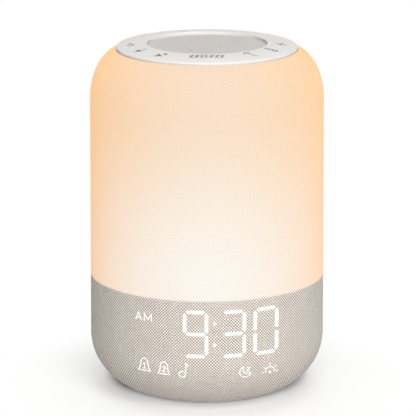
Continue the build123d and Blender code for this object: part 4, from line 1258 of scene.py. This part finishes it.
# %% Metals and boards
TRACK_CELLS, TRACK_EDGE = 260.0, (0.05, 0.09)           # cells to a metre, and where a track ends
GLASS_SPOTS = (3000.0, 300.0, 300.0)
SPIDER_PITCH = 0.5 * MM      # of the threads in the loudspeaker's spider
RESIN_BROWN = (0.42, 0.27, 0.09)
RESIN_GOLD = (0.62, 0.42, 0.16)


def grained(name, colour, spread, roughness, swing, depth, spots, detail=2.0, rough=0.55, **sockets):
    """A surface whose shades, sheen and bumps all come from one noise."""
    finish = Finish(name)
    grain = finish.noise(finish.stretched(finish.place(), spots), 1.0, detail, rough)
    finish.set(Base_Color=finish.shades(grain, colour, spread),
               Roughness=finish.swing(grain, roughness, swing), **sockets)
    finish.bump(grain, depth)
    return finish


def metal(name, colour, roughness, streak=(2500.0, 2500.0, 60.0)):
    """Drawn or turned metal with fine lines."""
    return grained(name, colour, 0.06, roughness, 0.08, 0.006 * MM, streak, Metallic=1.0)


def powder_coat(name):
    """Black powder coat with its orange peel."""
    return grained(name, (0.035, 0.035, 0.036), 0.15, 0.42, 0.0, 0.03 * MM, (2200.0,) * 3, 1.0)


def ferrite(name):
    """Sintered black magnet with pale pores."""
    return grained(name, (0.05, 0.05, 0.052), 0.35, 0.7, 0.0, 0.04 * MM, (1500.0,) * 3, 4.0, 0.7)


def circuit(name, mask, track):
    """A board: tracks under the mask, and a faint weave of glass."""
    finish = Finish(name)
    where = finish.place()
    cells = finish.node("ShaderNodeTexVoronoi", feature="DISTANCE_TO_EDGE", distance="MANHATTAN")
    finish.fed(cells, Vector=where, Scale=TRACK_CELLS, Randomness=0.75)
    on_track = finish.step(cells.outputs["Distance"], *TRACK_EDGE, 1.0, 0.0)
    glass = finish.noise(finish.stretched(where, GLASS_SPOTS), 1.0, 2.0)
    finish.set(Base_Color=finish.mix(on_track, finish.shades(glass, mask, 0.06), track), Roughness=0.32)
    finish.bump(on_track, 0.02 * MM)
    return finish


def stiffened_cloth(name):
    """The loudspeaker's resin-stiffened woven spider."""
    finish = Finish(name)
    threads = crossed(finish, *finish.split(finish.place())[:2], SPIDER_PITCH)
    finish.set(Base_Color=finish.mix(finish.step(threads, -0.5, 0.5), RESIN_BROWN, RESIN_GOLD),
               Roughness=0.6)
    finish.bump(threads, 0.08 * MM)
    return finish


print("metals and boards ready")

# %% [markdown]
# Each CAD piece names its material slot in the record.  The loop below gives every slot its finish,
# and stops with an error if a slot has none, so that no piece is left plain.

# %% Finishes onto the CAD pieces
SLOT_FINISHES = {
    "cloth": cloth,
    "ring_plastic": ring_finish("ring_plastic", (0.745, 0.73, 0.71)),
    "grille_cloth": moulded("grille_ground", GRILLE_DARK, 0.8),
    "white_plastic": moulded("white_plastic", (0.82, 0.82, 0.80), 0.5),
    "milky_plastic": milky("milky_plastic"),
    "grey_plastic": moulded("grey_plastic", (0.46, 0.43, 0.40), 0.55, 0.035 * MM),
    "key_plastic": moulded("key_plastic", (0.66, 0.64, 0.615), 0.4, 0.01 * MM),
    "black_plastic": moulded("black_plastic", (0.03, 0.03, 0.031), 0.5, 0.03 * MM, 0.1),
    "clear_plastic": clear("clear_plastic"),
    "lit_signs": glowing("light_guides", (0.85, 0.86, 0.86), SIGN_WHITE),
    "diodes": glowing("diodes", (0.85, 0.72, 0.30), (1.0, 0.85, 0.55)),
    "circuit_board": circuit("circuit_board", (0.015, 0.12, 0.045), (0.03, 0.22, 0.08)),
    "white_board": circuit("white_board", (0.80, 0.80, 0.78), (0.70, 0.69, 0.64)),
    "cable_jacket": moulded("cable_jacket", (0.62, 0.62, 0.62), 0.45, 0.02 * MM),
    "black_rubber": rubber("black_rubber"),
    "black_steel": powder_coat("black_steel"),
    "bright_steel": metal("bright_steel", (0.62, 0.62, 0.61), 0.3),
    "steel_screws": metal("steel_screws", (0.58, 0.58, 0.55), 0.35),
    "copper": metal("copper", (0.75, 0.36, 0.18), 0.3, (60.0, 60.0, 5000.0)),
    "woven_spider": stiffened_cloth("woven_spider"),
    "ferrite": ferrite("ferrite"),
}
for part in frame["record"]["subparts"]:
    node = frame["nodes"][part["node"]]
    for holder in node.material_slots:
        holder.material = SLOT_FINISHES[part["material_slot"]].material
